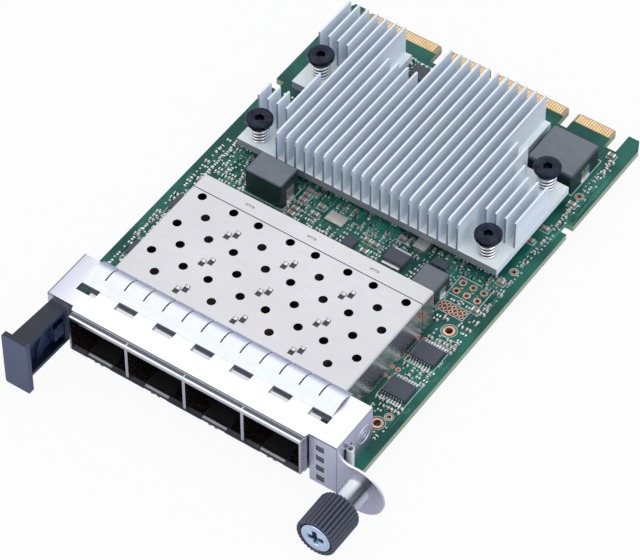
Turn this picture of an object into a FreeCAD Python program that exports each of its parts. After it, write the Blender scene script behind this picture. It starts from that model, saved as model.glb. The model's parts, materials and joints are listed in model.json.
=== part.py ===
import FreeCAD, Part
import Sketcher
import math
import os
import re

# Mezzanine network card: a narrow board with a four-port pluggable cage, a finned
# heatsink on four spring screws, a folded bracket with a pull tab on the left and a
# captive thumbscrew on the right, and a split row of edge contacts at the back.
#
# X runs across the card, with the thumbscrew on the +X side. Y runs from the bracket
# towards the edge contacts, and Z points up from the component side. The datum is on
# the centre line of the board's underside, 11.5 mm in from the contact edge.

doc = FreeCAD.newDocument("mezzanine_network_card")

# Sizes in millimetres. Distances along the card are measured from the datum, so what
# lies towards the bracket is entered as a distance and used as a minus. An entry that
# starts with an equals sign is worked out by the sheet from the entries above it.
SIZES = [
    # circuit board
    ("board_width", 76.0),
    ("board_thickness", 1.57),
    ("board_front", 100.2),
    ("tongue_root", 6.0),
    ("contact_edge", 11.5),
    ("contact_bevel", 0.5),
    ("tongue_corner", 1.0),
    ("tongue_one_left", -32.4),
    ("tongue_one_right", -13.45),
    ("tongue_two_left", -11.5),
    ("tongue_two_right", -0.54),
    ("tongue_three_left", 1.03),
    ("tongue_three_right", 19.45),
    ("tongue_four_left", 21.75),
    ("tongue_four_right", 31.22),
    ("guide_ear_width", 3.9),
    ("guide_ear_flat", 2.6),
    ("guide_ear_lead", 2.6),
    ("latch_notch_front", 20.0),
    ("latch_notch_length", 2.7),
    ("latch_notch_depth", 2.0),
    ("contact_pitch", 0.6),
    ("contact_width", 0.4),
    ("contact_length", 2.3),
    ("contact_thickness", 0.05),
    ("header_inset", 10.45),
    ("header_front", 45.95),
    ("header_pitch", 2.54),
    ("header_hole_radius", 0.5),
    ("film_thickness", 0.25),
    ("film_margin", 3.2),
    ("film_rear", 6.0),
    # heatsink and its spring screws
    ("sink_width", 65.4),
    ("sink_front", 39.4),
    ("sink_length", 41.6),
    ("sink_standoff", 1.9),
    ("sink_base", 1.9),
    ("fin_height", 7.6),
    ("fin_thickness", 0.45),
    ("fin_margin", 0.78),
    ("fin_count", 28.0),
    ("fin_first", "=fin_margin - sink_width / 2"),
    ("fin_pitch", "=(sink_width - fin_margin) / (fin_count - 1)"),
    ("fin_nose", 1.2),
    ("sink_screw_inset", 3.9),
    ("sink_screw_front", 36.4),
    ("sink_screw_pitch", 22.8),
    ("sink_screw_spacing", "=sink_width - 2 * sink_screw_inset"),
    ("sink_screw_radius", 1.0),
    ("sink_screw_head_radius", 2.85),
    ("sink_screw_head_height", 1.3),
    ("sink_screw_neck", 0.7),
    ("sink_screw_top", 5.4),
    ("sink_screw_clearance", 0.3),
    ("sink_screw_socket", 0.95),
    ("spring_radius", 1.75),
    ("spring_wire", 0.45),
    ("spring_turns", 3.2),
    ("spring_play", 0.05),
    ("chip_size", 25.0),
    ("chip_lid_size", 20.0),
    ("chip_height", 1.6),
    ("chip_centre", 18.0),
    # port cage
    ("port_pitch", 14.25),
    ("port_count", 4.0),
    ("cage_height", 10.4),
    ("cage_reach", 3.3),
    ("shell_length", 43.0),
    ("cover_length", 4.1),
    ("cage_front", "=board_front + cage_reach"),
    ("cage_seam", "=cage_front - shell_length"),
    ("cage_rear", "=cage_seam - cover_length"),
    ("cage_sheet", 0.3),
    ("cage_fold", 0.5),
    ("cage_half", "=port_pitch * port_count / 2 + cage_sheet / 2"),
    ("cage_floor_gap", 0.3),
    ("frame_depth", 1.1),
    ("frame_lip", 1.0),
    ("frame_wall", 0.45),
    ("frame_roll", 0.7),
    ("row_shift", 0.2),
    ("vent_radius", 1.0),
    ("vent_column_pitch", 4.0),
    ("vent_row_pitch", 8.84),
    ("vent_margin", 1.5),
    ("lance_size", 0.85),
    ("lance_lift", 0.25),
    ("lance_margin", 7.0),
    ("divider_hem", 0.7),
    ("connector_width", 11.4),
    ("connector_length", 10.0),
    ("connector_height", 6.6),
    ("latch_width", 5.8),
    ("latch_length", 7.0),
    ("latch_drop", 0.9),
    ("latch_gap", 0.3),
    # bracket
    ("bracket_sheet", 0.5),
    ("bracket_reach", 0.9),
    ("bracket_face", "=board_front + bracket_reach"),
    ("bracket_depth", 12.5),
    ("bracket_gap", 0.3),
    ("side_plate_width", 6.55),
    ("bracket_width", "=2 * (cage_half + bracket_gap + side_plate_width)"),
    ("flange_lip", 1.1),
    ("light_plate_drop", 1.73),
    ("tab_plate_bottom", 0.77),
    ("wing_foot", 3.0),
    ("wing_slot_front", 2.4),
    ("wing_slot_width", 2.8),
    ("wing_slot_height", 7.8),
    ("clip_radius", 0.85),
    ("clip_sheet", 0.25),
    ("window_width", 4.7),
    ("window_length", 2.0),
    ("window_setback", 3.9),
    ("window_count", 7.0),
    ("window_margin", 7.0),
    ("window_pitch", "=(bracket_width - 2 * window_margin) / (window_count - 1)"),
    ("window_first", "=window_margin - bracket_width / 2 - 2 * row_shift"),
    ("light_pitch", 3.08),
    ("light_width", 1.9),
    ("light_height", 1.6),
    ("light_lowest", 0.12),
    ("light_inset", 4.0),
    ("light_across", "=bracket_width / 2 - light_inset"),
    ("strip_thickness", 0.2),
    ("strip_camber", 0.3),
    ("strip_margin", 4.9),
    ("strip_left", "=strip_margin - bracket_width / 2 - 2 * row_shift"),
    ("strip_width", "=bracket_width - 2 * strip_margin"),
    ("strip_first_finger", 3.9),
    ("strip_finger_count", 13.0),
    ("strip_slit", 0.35),
    ("strip_slit_front", 8.7),
    ("strip_overhang", 2.2),
    # captive thumbscrew
    ("screw_outside", 4.7),
    ("screw_across", "=bracket_width / 2 + screw_outside"),
    ("screw_above", 2.67),
    ("ear_radius", 6.4),
    ("ear_fillet", 3.2),
    ("collar_radius", 2.3),
    ("collar_bore", 1.95),
    ("collar_overlap", 1.5),
    ("collar_seat", 0.5),
    ("collar_flange_radius", 3.2),
    ("collar_flange", 0.8),
    ("knob_radius", 4.5),
    ("knob_length", 9.3),
    ("knob_standout", 5.1),
    ("knob_rear_round", 0.9),
    ("knob_front_round", 0.35),
    ("knob_rib_count", 30.0),
    ("knob_rib_depth", 0.3),
    ("thumb_travel", 4.0),
    ("running_gap", 0.3),
    ("washer_thickness", 0.5),
    ("thumb_head_radius", 3.0),
    ("thumb_head_height", 1.8),
    ("thumb_shank_radius", 1.1),
    ("thumb_thread_radius", 1.5),
    ("thumb_thread_length", 5.0),
    ("thumb_spring_wire", 0.3),
    ("thumb_spring_turns", 4.0),
    # pull tab
    ("tab_overhang", 0.5),
    ("tab_outer", "=-bracket_width / 2 - tab_overhang"),
    ("tab_width", 6.3),
    ("tab_reach", 14.5),
    ("tab_grip", 1.2),
    ("tab_grip_height", 14.8),
    ("tab_body_height", 9.8),
    ("tab_wall", 0.95),
    ("tab_screw_radius", 0.9),
    ("tab_screw_length", 3.2),
    # parts soldered to the board
    ("choke_rear_size", 11.2),
    ("choke_rear_height", 5.0),
    ("choke_front_size", 6.1),
    ("choke_front_height", 3.8),
    ("choke_left_width", 9.3),
    ("choke_left_length", 6.4),
    ("choke_left_height", 6.6),
    ("buffer_width", 5.6),
    ("buffer_length", 4.4),
    ("buffer_height", 1.0),
    ("lead_pitch", 0.65),
    ("lead_width", 0.3),
    ("lead_reach", 0.95),
    ("small_part_length", 1.6),
    ("small_part_width", 0.95),
    ("small_part_height", 0.8),
]

sheet = doc.addObject("Spreadsheet::Sheet", "Sizes")
for row, (alias, value) in enumerate(SIZES, start=1):
    sheet.set("A%d" % row, alias)
    sheet.set("B%d" % row, str(value))
    sheet.setAlias("B%d" % row, alias)
doc.recompute()


def bound(text):
    """Turn the words of a formula into references to the sheet."""
    return re.sub(r"[a-z]+(?:_[a-z]+)+", lambda word: "Sizes." + word.group(0), text)


def size(alias):
    """Read one driving size from the sheet."""
    return float(sheet.get(alias))


def body(label):
    item = doc.addObject("PartDesign::Body", label)
    item.Label = label
    return item


def origin_plane(owner, role):
    return next(item for item in owner.Origin.OriginFeatures if item.Role == role)


def sketch(owner, role, name, offset="0"):
    """A sketch on one of the body's origin planes, moved along its normal."""
    item = owner.newObject("Sketcher::SketchObject", name)
    item.AttachmentSupport = [(origin_plane(owner, role), "")]
    item.MapMode = "FlatFace"
    item.setExpression("AttachmentOffset.Base.z", bound(offset))
    return item


def polygon(drawing, points):
    """A closed outline whose corners are each tied to the sheet."""
    total = len(points)
    first = drawing.GeometryCount
    ring = []
    for index in range(total):
        turn = 2 * math.pi * index / total
        ring.append(FreeCAD.Vector(10 * math.cos(turn), 10 * math.sin(turn), 0))
    lines = [Part.LineSegment(ring[i], ring[(i + 1) % total]) for i in range(total)]
    drawing.addGeometry(lines, False)
    ties = []
    for i in range(total):
        after = first + (i + 1) % total
        ties.append(Sketcher.Constraint("Coincident", first + i, 2, after, 1))
    for i in range(total):
        ties.append(Sketcher.Constraint("DistanceX", -1, 1, first + i, 1, ring[i].x))
        ties.append(Sketcher.Constraint("DistanceY", -1, 1, first + i, 1, ring[i].y))
    base = drawing.ConstraintCount + total
    drawing.addConstraint(ties)
    for i, (across, up) in enumerate(points):
        drawing.setExpression("Constraints[%d]" % (base + 2 * i), bound(across))
        drawing.setExpression("Constraints[%d]" % (base + 2 * i + 1), bound(up))


def rectangle(drawing, left, low, right, high):
    polygon(drawing, [(left, low), (right, low), (right, high), (left, high)])


def centred(drawing, across, up, width, height):
    rectangle(drawing, "(%s) - (%s) / 2" % (across, width), "(%s) - (%s) / 2" % (up, height),
              "(%s) + (%s) / 2" % (across, width), "(%s) + (%s) / 2" % (up, height))


def circle(drawing, across, up, radius):
    index = drawing.GeometryCount
    drawing.addGeometry(Part.Circle(FreeCAD.Vector(1, 1, 0), FreeCAD.Vector(0, 0, 1), 1), False)
    base = drawing.ConstraintCount
    drawing.addConstraint([
        Sketcher.Constraint("DistanceX", -1, 1, index, 3, 1.0),
        Sketcher.Constraint("DistanceY", -1, 1, index, 3, 1.0),
        Sketcher.Constraint("Radius", index, 1.0),
    ])
    for step, formula in enumerate((across, up, radius)):
        drawing.setExpression("Constraints[%d]" % (base + step), bound(formula))


def flat_sided(drawing, across, up, radius, sides=12):
    """A regular outline with flat sides, in place of a small circle."""
    corners = []
    for index in range(sides):
        turn = 2 * math.pi * (index + 0.5) / sides
        corners.append(("(%s) + (%s) * %.4f" % (across, radius, math.cos(turn)),
                        "(%s) + (%s) * %.4f" % (up, radius, math.sin(turn))))
    polygon(drawing, corners)


def pad(owner, drawing, name, length, reverse=False, middle=False):
    item = owner.newObject("PartDesign::Pad", name)
    item.Profile = drawing
    item.Reversed = reverse
    item.Midplane = middle
    item.setExpression("Length", bound(length))
    owner.Tip = item
    return item


def pocket(owner, drawing, name, length, reverse=False, middle=False):
    item = owner.newObject("PartDesign::Pocket", name)
    item.Profile = drawing
    item.Reversed = reverse
    item.Midplane = middle
    item.setExpression("Length", bound(length))
    owner.Tip = item
    return item


def row_of(owner, features, name, drawing, axis, step, count):
    """Repeat features along a sketch axis, H_Axis or V_Axis, at an even step."""
    item = owner.newObject("PartDesign::LinearPattern", name)
    item.Originals = features
    item.Direction = (drawing, [axis])
    item.setExpression("Length", bound("(%s) * (%s - 1)" % (step, count)))
    item.setExpression("Occurrences", bound(count))
    owner.Tip = item
    return item


def grid_of(owner, features, name, drawing, *steps):
    """Repeat features by several steps, each an axis of a sketch, a pitch and a count."""
    item = owner.newObject("PartDesign::MultiTransform", name)
    item.Originals = features
    moves = []
    for axis, pitch, count in steps:
        move = owner.newObject("PartDesign::LinearPattern", name + "Step%d" % len(moves))
        move.Direction = (drawing, [axis])
        move.setExpression("Length", bound("(%s) * (%s - 1)" % (pitch, count)))
        move.setExpression("Occurrences", bound(count))
        moves.append(move)
    item.Transformations = moves
    owner.Tip = item
    return item


def turned(owner, drawing, name, axis="V_Axis"):
    item = owner.newObject("PartDesign::Revolution", name)
    item.Profile = drawing
    item.ReferenceAxis = (drawing, [axis])
    item.Angle = 360.0
    owner.Tip = item
    return item


def soften(owner, base, name, radius, chosen, kind="PartDesign::Fillet"):
    """Round or chamfer the edges of a feature that a test picks out."""
    doc.recompute()
    edges = ["Edge%d" % (i + 1) for i, edge in enumerate(base.Shape.Edges) if chosen(edge)]
    item = owner.newObject(kind, name)
    item.Base = (base, edges)
    item.setExpression("Radius" if kind.endswith("Fillet") else "Size", bound(radius))
    owner.Tip = item
    return item


def coil(radius, wire, rise, turns, steps=10):
    """A coil of square wire about Z, lofted through sections set round its axis."""
    sections = []
    for index in range(int(turns * steps) + 1):
        turn = 2 * math.pi * index / steps
        height = rise * index / int(turns * steps)
        corners = []
        for out, up in ((-0.5, 0), (0.5, 0), (0.5, 1), (-0.5, 1)):
            reach = radius + out * wire
            corners.append(FreeCAD.Vector(reach * math.cos(turn), reach * math.sin(turn),
                                          height + up * wire))
        sections.append(Part.makePolygon(corners + corners[:1]))
    return Part.makeLoft(sections, True, True)


def near(value, target):
    return abs(value - target) < 0.01


def lies_at(edge, **where):
    """True where every point of an edge has the given x, y or z."""
    box = edge.BoundBox
    for axis, target in where.items():
        low = getattr(box, axis.upper() + "Min")
        high = getattr(box, axis.upper() + "Max")
        if not (near(low, target) and near(high, target)):
            return False
    return True


def from_right(distance):
    """A place a fixed distance in from the board's right edge."""
    return "(board_width / 2 - %s)" % distance


def from_left(distance):
    """A place a fixed distance in from the board's left edge."""
    return "(%s - board_width / 2)" % distance


# Circuit board, edge contacts and the film under the board

BOARD_TOP = "board_thickness"
TONGUES = ("one", "two", "three", "four")
CONTACTS = {"one": 28, "two": 14, "three": 28, "four": 14}

board = body("circuit_board")
outline = sketch(board, "XY_Plane", "BoardOutline")
rectangle(outline, "-board_width / 2", "-board_front", "board_width / 2", "tongue_root")
pad(board, outline, "BoardPlate", "board_thickness")
tongues = sketch(board, "XY_Plane", "ContactTongues")
for word in TONGUES:
    rectangle(tongues, "tongue_%s_left" % word, "tongue_root - 0.5",
              "tongue_%s_right" % word, "contact_edge")
tongue_pad = pad(board, tongues, "Tongues", "board_thickness")
soften(board, tongue_pad, "TongueCorners", "tongue_corner",
       lambda edge: lies_at(edge, y=size("contact_edge")) and edge.BoundBox.ZLength > 1)
ear_shape = sketch(board, "XY_Plane", "GuideEar")
polygon(ear_shape, [
    ("board_width / 2 - guide_ear_width", "tongue_root - 0.5"),
    ("board_width / 2", "tongue_root - 0.5"),
    ("board_width / 2", "contact_edge - guide_ear_lead"),
    ("board_width / 2 - guide_ear_width + guide_ear_flat", "contact_edge"),
    ("board_width / 2 - guide_ear_width", "contact_edge"),
])
ear_pad = pad(board, ear_shape, "Ear", "board_thickness")
ears = board.newObject("PartDesign::Mirrored", "Ears")
ears.Originals = [ear_pad]
ears.MirrorPlane = (origin_plane(board, "YZ_Plane"), [""])
board.Tip = ears
notch_shape = sketch(board, "XY_Plane", "LatchNotch", "board_thickness")
for side in ("", "-"):
    edges = ["%s(board_width / 2 - latch_notch_depth)" % side, "%s(board_width / 2 + 1)" % side]
    rectangle(notch_shape, edges[0], "-latch_notch_front",
              edges[1], "latch_notch_length - latch_notch_front")
pocket(board, notch_shape, "LatchNotches", "board_thickness")
for name, level, tip in (("Top", "board_thickness", "-"), ("Bottom", "0", "+")):
    bevel = sketch(board, "YZ_Plane", "ContactBevel" + name)
    polygon(bevel, [
        ("contact_edge - contact_bevel", level),
        ("contact_edge + 0.1", level),
        ("contact_edge + 0.1", "%s %s contact_bevel * 0.7" % (level, tip)),
    ])
    pocket(board, bevel, "Bevel" + name, "board_width - 2 * guide_ear_width - 2", middle=True)
sink_hole = sketch(board, "XY_Plane", "SinkHole", "board_thickness")
flat_sided(sink_hole, "-sink_screw_spacing / 2", "-sink_screw_front", "sink_screw_radius + 0.2")
sink_hole_cut = pocket(board, sink_hole, "SinkHoleCut", "board_thickness")
grid_of(board, [sink_hole_cut], "SinkHoles", sink_hole,
        ("H_Axis", "sink_screw_spacing", "2"), ("V_Axis", "sink_screw_pitch", "2"))
header_hole = sketch(board, "XY_Plane", "HeaderHole", "board_thickness")
flat_sided(header_hole, from_right("header_inset"), "-header_front", "header_hole_radius", 10)
header_cut = pocket(board, header_hole, "HeaderHoleCut", "board_thickness")
grid_of(board, [header_cut], "HeaderHoles", header_hole,
        ("H_Axis", "header_pitch", "3"), ("V_Axis", "header_pitch", "2"))
probe_hole = sketch(board, "XY_Plane", "ProbeHole", "board_thickness")
flat_sided(probe_hole, from_right("header_inset") + " - 0.4", "-header_front - 5.45",
           "header_hole_radius * 0.65", 8)
probe_cut = pocket(board, probe_hole, "ProbeHoleCut", "board_thickness")
grid_of(board, [probe_cut], "ProbeHoles", probe_hole,
        ("H_Axis", "header_pitch / 2", "5"), ("V_Axis", "header_pitch / 2", "2"))
single_holes = sketch(board, "XY_Plane", "SingleHoles", "board_thickness")
for inset, along, radius in (("5.75", "-55.9", "1.1"), ("4.4", "-84.1", "1.1"),
                             ("3.4", "-9.4", "0.6"), ("3.4", "-34.95", "0.6"),
                             ("3.3", "-81.5", "0.6")):
    flat_sided(single_holes, from_right(inset), along, radius)
pocket(board, single_holes, "SingleHoleCuts", "board_thickness")

contacts = body("edge_contacts")
for face, level, down in (("Top", "board_thickness", False), ("Bottom", "0", True)):
    for word in TONGUES:
        count = CONTACTS[word]
        drawing = sketch(contacts, "XY_Plane", "%sContact%s" % (face, word.title()), level)
        middle = "(tongue_%s_left + tongue_%s_right) / 2" % (word, word)
        start = "%s - contact_pitch * %s" % (middle, (count - 1) / 2)
        centred(drawing, start, "contact_edge - contact_bevel - contact_length / 2",
                "contact_width", "contact_length")
        single = pad(contacts, drawing, "%sFinger%s" % (face, word.title()),
                     "contact_thickness", reverse=down)
        row_of(contacts, [single], "%sRow%s" % (face, word.title()), drawing, "H_Axis",
               "contact_pitch", str(count))

film = body("insulator_film")
film_shape = sketch(film, "XY_Plane", "FilmOutline")
rectangle(film_shape, "film_margin - board_width / 2", "film_margin - board_front",
          "board_width / 2 - film_margin", "-film_rear")
pad(film, film_shape, "Film", "film_thickness", reverse=True)


# Heatsink with its chip, thermal pad, spring screws and springs

SINK_BOTTOM = "board_thickness + sink_standoff"
SINK_TOP = "board_thickness + sink_standoff + sink_base"
SINK_REAR = "sink_length - sink_front"


def fin_gap(index):
    """The middle of the gap before the fin with this number, counted from the left."""
    return "fin_first + fin_pitch * %s" % (index - 0.5)


sink = body("heatsink")
base_shape = sketch(sink, "XY_Plane", "SinkBase", SINK_BOTTOM)
rectangle(base_shape, "-sink_width / 2", "-sink_front", "sink_width / 2 + 0.3", SINK_REAR)
pad(sink, base_shape, "BasePlate", "sink_base")
fin_shape = sketch(sink, "XY_Plane", "FirstFin", SINK_BOTTOM)
rectangle(fin_shape, "fin_first - fin_thickness / 2", "-sink_front",
          "fin_first + fin_thickness / 2", SINK_REAR)
fin = pad(sink, fin_shape, "Fin", "sink_base + fin_height")
row_of(sink, [fin], "Fins", fin_shape, "H_Axis", "fin_pitch", "fin_count")
nose = sketch(sink, "YZ_Plane", "FinNose")
polygon(nose, [
    ("-sink_front - 0.5", "%s + fin_height - fin_nose" % SINK_TOP),
    ("-sink_front", "%s + fin_height - fin_nose" % SINK_TOP),
    ("0.35 * fin_nose - sink_front", "%s + fin_height - 0.35 * fin_nose" % SINK_TOP),
    ("fin_nose - sink_front", "%s + fin_height" % SINK_TOP),
    ("fin_nose - sink_front", "%s + fin_height + 0.5" % SINK_TOP),
    ("-sink_front - 0.5", "%s + fin_height + 0.5" % SINK_TOP),
])
pocket(sink, nose, "FinNoses", "sink_width + 4", middle=True)
room = sketch(sink, "XY_Plane", "ScrewRoom", SINK_TOP + " + fin_height")
LEFT_OUT = "-sink_width / 2 - 1"
RIGHT_OUT = "sink_width / 2 + 1"
rectangle(room, LEFT_OUT, "-sink_front - 1", fin_gap(4), "7.1 - sink_front")
rectangle(room, fin_gap(24), "-sink_front - 1", RIGHT_OUT, "7.1 - sink_front")
polygon(room, [
    (LEFT_OUT, "11.6 - sink_front"),
    (fin_gap(3), "11.6 - sink_front"),
    (fin_gap(3), "19.7 - sink_front"),
    (fin_gap(4), "19.7 - sink_front"),
    (fin_gap(4), "29.8 - sink_front"),
    (LEFT_OUT, "29.8 - sink_front"),
])
polygon(room, [
    (RIGHT_OUT, "19.6 - sink_front"),
    (fin_gap(25), "19.6 - sink_front"),
    (fin_gap(25), "22 - sink_front"),
    (fin_gap(24), "22 - sink_front"),
    (fin_gap(24), "26.8 - sink_front"),
    (fin_gap(22), "26.8 - sink_front"),
    (fin_gap(22), "sink_length - sink_front + 1"),
    (RIGHT_OUT, "sink_length - sink_front + 1"),
])
rectangle(room, fin_gap(7), "31.8 - sink_front", fin_gap(11), "sink_length - sink_front + 1")
pocket(sink, room, "FinCutaways", "fin_height")
corners = sketch(sink, "XY_Plane", "BaseNotches", SINK_TOP)
rectangle(corners, LEFT_OUT, "11.6 - sink_front", fin_gap(3), "20.4 - sink_front")
rectangle(corners, fin_gap(7) + " + 0.7", "31.9 - sink_front",
          fin_gap(11) + " + 0.4", "sink_length - sink_front + 1")
rectangle(corners, fin_gap(22) + " + 0.4", "28 - sink_front",
          RIGHT_OUT, "sink_length - sink_front + 1")
pocket(sink, corners, "BaseNotchCuts", "sink_base")
shank_hole = sketch(sink, "XY_Plane", "ShankHole", SINK_TOP)
flat_sided(shank_hole, "-sink_screw_spacing / 2", "-sink_screw_front",
           "sink_screw_radius + sink_screw_clearance")
shank_cut = pocket(sink, shank_hole, "ShankHoleCut", "sink_base")
grid_of(sink, [shank_cut], "ShankHoles", shank_hole,
        ("H_Axis", "sink_screw_spacing", "2"), ("V_Axis", "sink_screw_pitch", "2"))

chip = body("controller_chip")
chip_shape = sketch(chip, "XY_Plane", "ChipSubstrate", BOARD_TOP)
centred(chip_shape, "0", "-chip_centre", "chip_size", "chip_size")
pad(chip, chip_shape, "Substrate", "chip_height * 0.45")
lid_shape = sketch(chip, "XY_Plane", "ChipLid", BOARD_TOP)
centred(lid_shape, "0", "-chip_centre", "chip_lid_size", "chip_lid_size")
pad(chip, lid_shape, "Lid", "chip_height")

soft_pad = body("thermal_pad")
pad_shape = sketch(soft_pad, "XY_Plane", "PadOutline", BOARD_TOP + " + chip_height")
centred(pad_shape, "0", "-chip_centre", "chip_lid_size - 1", "chip_lid_size - 1")
pad(soft_pad, pad_shape, "SoftPad", "sink_standoff - chip_height")

sink_screws = body("heatsink_screws")
half = sketch(sink_screws, "XZ_Plane", "ScrewHalf")
HEAD_TOP = SINK_TOP + " + sink_screw_top"
HEAD_LOW = HEAD_TOP + " - sink_screw_head_height"
HEAD_SEAT = HEAD_LOW + " - sink_screw_neck"
polygon(half, [
    ("0", "0.1"),
    ("sink_screw_radius", "0.1"),
    ("sink_screw_radius", HEAD_SEAT),
    ("sink_screw_head_radius - 0.35", HEAD_SEAT),
    ("sink_screw_head_radius - 0.6", HEAD_LOW),
    ("sink_screw_head_radius", HEAD_LOW),
    ("sink_screw_head_radius", HEAD_TOP + " - 0.3"),
    ("sink_screw_head_radius - 0.3", HEAD_TOP),
    ("0", HEAD_TOP),
])
one_screw = turned(sink_screws, half, "OneScrew")
socket_shape = sketch(sink_screws, "XY_Plane", "HexSocket", HEAD_TOP)
flat_sided(socket_shape, "0", "0", "sink_screw_socket", 6)
socket_cut = pocket(sink_screws, socket_shape, "HexSocketCut", "0.9")
grid_of(sink_screws, [one_screw, socket_cut], "FourScrews", socket_shape,
        ("H_Axis", "sink_screw_spacing", "2"), ("V_Axis", "sink_screw_pitch", "2"))

spring_room = size("sink_screw_top") - size("sink_screw_head_height") - size("sink_screw_neck")
one_spring = coil(size("spring_radius"), size("spring_wire"),
                  spring_room - size("spring_wire") - size("spring_play"),
                  size("spring_turns"))
springs = doc.addObject("Part::Feature", "heatsink_springs")
springs.Shape = Part.makeCompound([
    one_spring.translated(FreeCAD.Vector(across * size("sink_screw_spacing"),
                                         along * size("sink_screw_pitch"), 0))
    for across in (0, 1) for along in (0, 1)])
springs.setExpression("Placement.Base.z", bound(SINK_TOP))

for item in (sink_screws, springs):
    item.setExpression("Placement.Base.x", bound("-sink_screw_spacing / 2"))
    item.setExpression("Placement.Base.y", bound("-sink_screw_front"))


# Port cage: shell, rear cover, floor, dividers, frame, latches and connectors

CAGE_TOP = "board_thickness + cage_height"
FLOOR_LOW = "board_thickness + cage_floor_gap"
FIRST_PORT = "port_pitch * (1 - port_count) / 2"

shell = body("cage_shell")
channel = sketch(shell, "XZ_Plane", "ShellChannel", "cage_seam + 0.1")
polygon(channel, [
    ("-cage_half", BOARD_TOP),
    ("cage_sheet - cage_half", BOARD_TOP),
    ("cage_sheet - cage_half", CAGE_TOP + " - cage_sheet"),
    ("cage_half - cage_sheet", CAGE_TOP + " - cage_sheet"),
    ("cage_half - cage_sheet", BOARD_TOP),
    ("cage_half", BOARD_TOP),
    ("cage_half", CAGE_TOP),
    ("-cage_half", CAGE_TOP),
])
channel_pad = pad(shell, channel, "Channel", "cage_front - frame_depth - cage_seam - 0.1")


def top_side_edge(edge):
    """True on the two long top corners of the cage."""
    return (lies_at(edge, z=size("board_thickness") + size("cage_height"))
            and near(edge.BoundBox.XLength, 0)
            and near(abs(edge.BoundBox.XMin), size("cage_half")))


soften(shell, channel_pad, "ShellFolds", "cage_fold", top_side_edge)
LAST_VENT = "-cage_seam - vent_margin - 2 * vent_row_pitch"
VENT_ROWS = [("H_Axis", "port_pitch", "port_count"), ("V_Axis", "vent_row_pitch", "3")]
outer_vent = sketch(shell, "XY_Plane", "OuterVent", CAGE_TOP)
flat_sided(outer_vent, FIRST_PORT + " + row_shift - vent_column_pitch", LAST_VENT,
           "vent_radius")
outer_cut = pocket(shell, outer_vent, "OuterVentCut", "cage_sheet")
grid_of(shell, [outer_cut], "OuterVents", outer_vent,
        ("H_Axis", "2 * vent_column_pitch", "2"), *VENT_ROWS)
middle_vent = sketch(shell, "XY_Plane", "MiddleVent", CAGE_TOP)
flat_sided(middle_vent, FIRST_PORT + " + row_shift", LAST_VENT + " - vent_row_pitch / 2",
           "vent_radius")
middle_cut = pocket(shell, middle_vent, "MiddleVentCut", "cage_sheet")
grid_of(shell, [middle_cut], "MiddleVents", middle_vent, *VENT_ROWS)
lance_holes = sketch(shell, "XY_Plane", "LanceHoles", CAGE_TOP)
lance_tongues = sketch(shell, "XY_Plane", "LanceTongues", CAGE_TOP + " - cage_sheet / 2")
LANCE_ACROSS = FIRST_PORT + " + port_pitch / 2 + 2 * row_shift"
LANCE_ALONG = "-cage_seam - lance_margin - 2 * vent_row_pitch"
for side in ("+", "-"):
    middle = LANCE_ACROSS + " %s 0.75 * lance_size" % side
    along = LANCE_ALONG + " %s 0.85 * lance_size" % side
    centred(lance_holes, middle, along, "lance_size", "lance_size")
    rectangle(lance_tongues, middle + " - lance_size / 2", along + " + lance_size / 2",
              middle + " + lance_size / 2", along + " + 1.3 * lance_size")
lance_cut = pocket(shell, lance_holes, "LanceCut", "cage_sheet")
lance_lift = pad(shell, lance_tongues, "LanceLift", "cage_sheet / 2 + lance_lift")
grid_of(shell, [lance_cut, lance_lift], "Lances", lance_holes,
        ("H_Axis", "port_pitch", "port_count - 1"), ("V_Axis", "vent_row_pitch", "3"))

cover = body("cage_rear_cover")
cover_shape = sketch(cover, "XY_Plane", "CoverOutline", BOARD_TOP)
rectangle(cover_shape, "-cage_half", "0.1 - cage_seam", "cage_half", "-cage_rear")
cover_pad = pad(cover, cover_shape, "CoverBlock", "cage_height")
soften(cover, cover_pad, "CoverFolds", "cage_fold", top_side_edge)
hollow = sketch(cover, "XY_Plane", "CoverHollow", BOARD_TOP)
rectangle(hollow, "cage_sheet - cage_half", "-cage_seam",
          "cage_half - cage_sheet", "-cage_rear - cage_sheet")
pocket(cover, hollow, "CoverInside", "cage_height - cage_sheet", reverse=True)
catches = sketch(cover, "XY_Plane", "CatchSlots", CAGE_TOP)
centred(catches, "-port_pitch * 1.09", "-cage_rear - 2.1", "2", "0.5")
catch_cut = pocket(cover, catches, "CatchSlotCuts", "cage_sheet")
row_of(cover, [catch_cut], "CatchSlotRow", catches, "H_Axis", "port_pitch * 1.09", "3")

floor = body("cage_floor")
floor_shape = sketch(floor, "XY_Plane", "FloorOutline", FLOOR_LOW)
rectangle(floor_shape, "cage_sheet - cage_half", "frame_depth - cage_front",
          "cage_half - cage_sheet", "-cage_seam - connector_length - 2")
pad(floor, floor_shape, "FloorPlate", "cage_sheet")
tongue_slots = sketch(floor, "XY_Plane", "LatchSlots", FLOOR_LOW + " + cage_sheet")
rectangle(tongue_slots, FIRST_PORT + " - latch_width / 2 - latch_gap", "-cage_front",
          FIRST_PORT + " + latch_width / 2 + latch_gap", "latch_length - cage_front")
tongue_cut = pocket(floor, tongue_slots, "LatchSlotCut", "cage_sheet")
row_of(floor, [tongue_cut], "LatchSlotRow", tongue_slots, "H_Axis", "port_pitch", "port_count")

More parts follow.
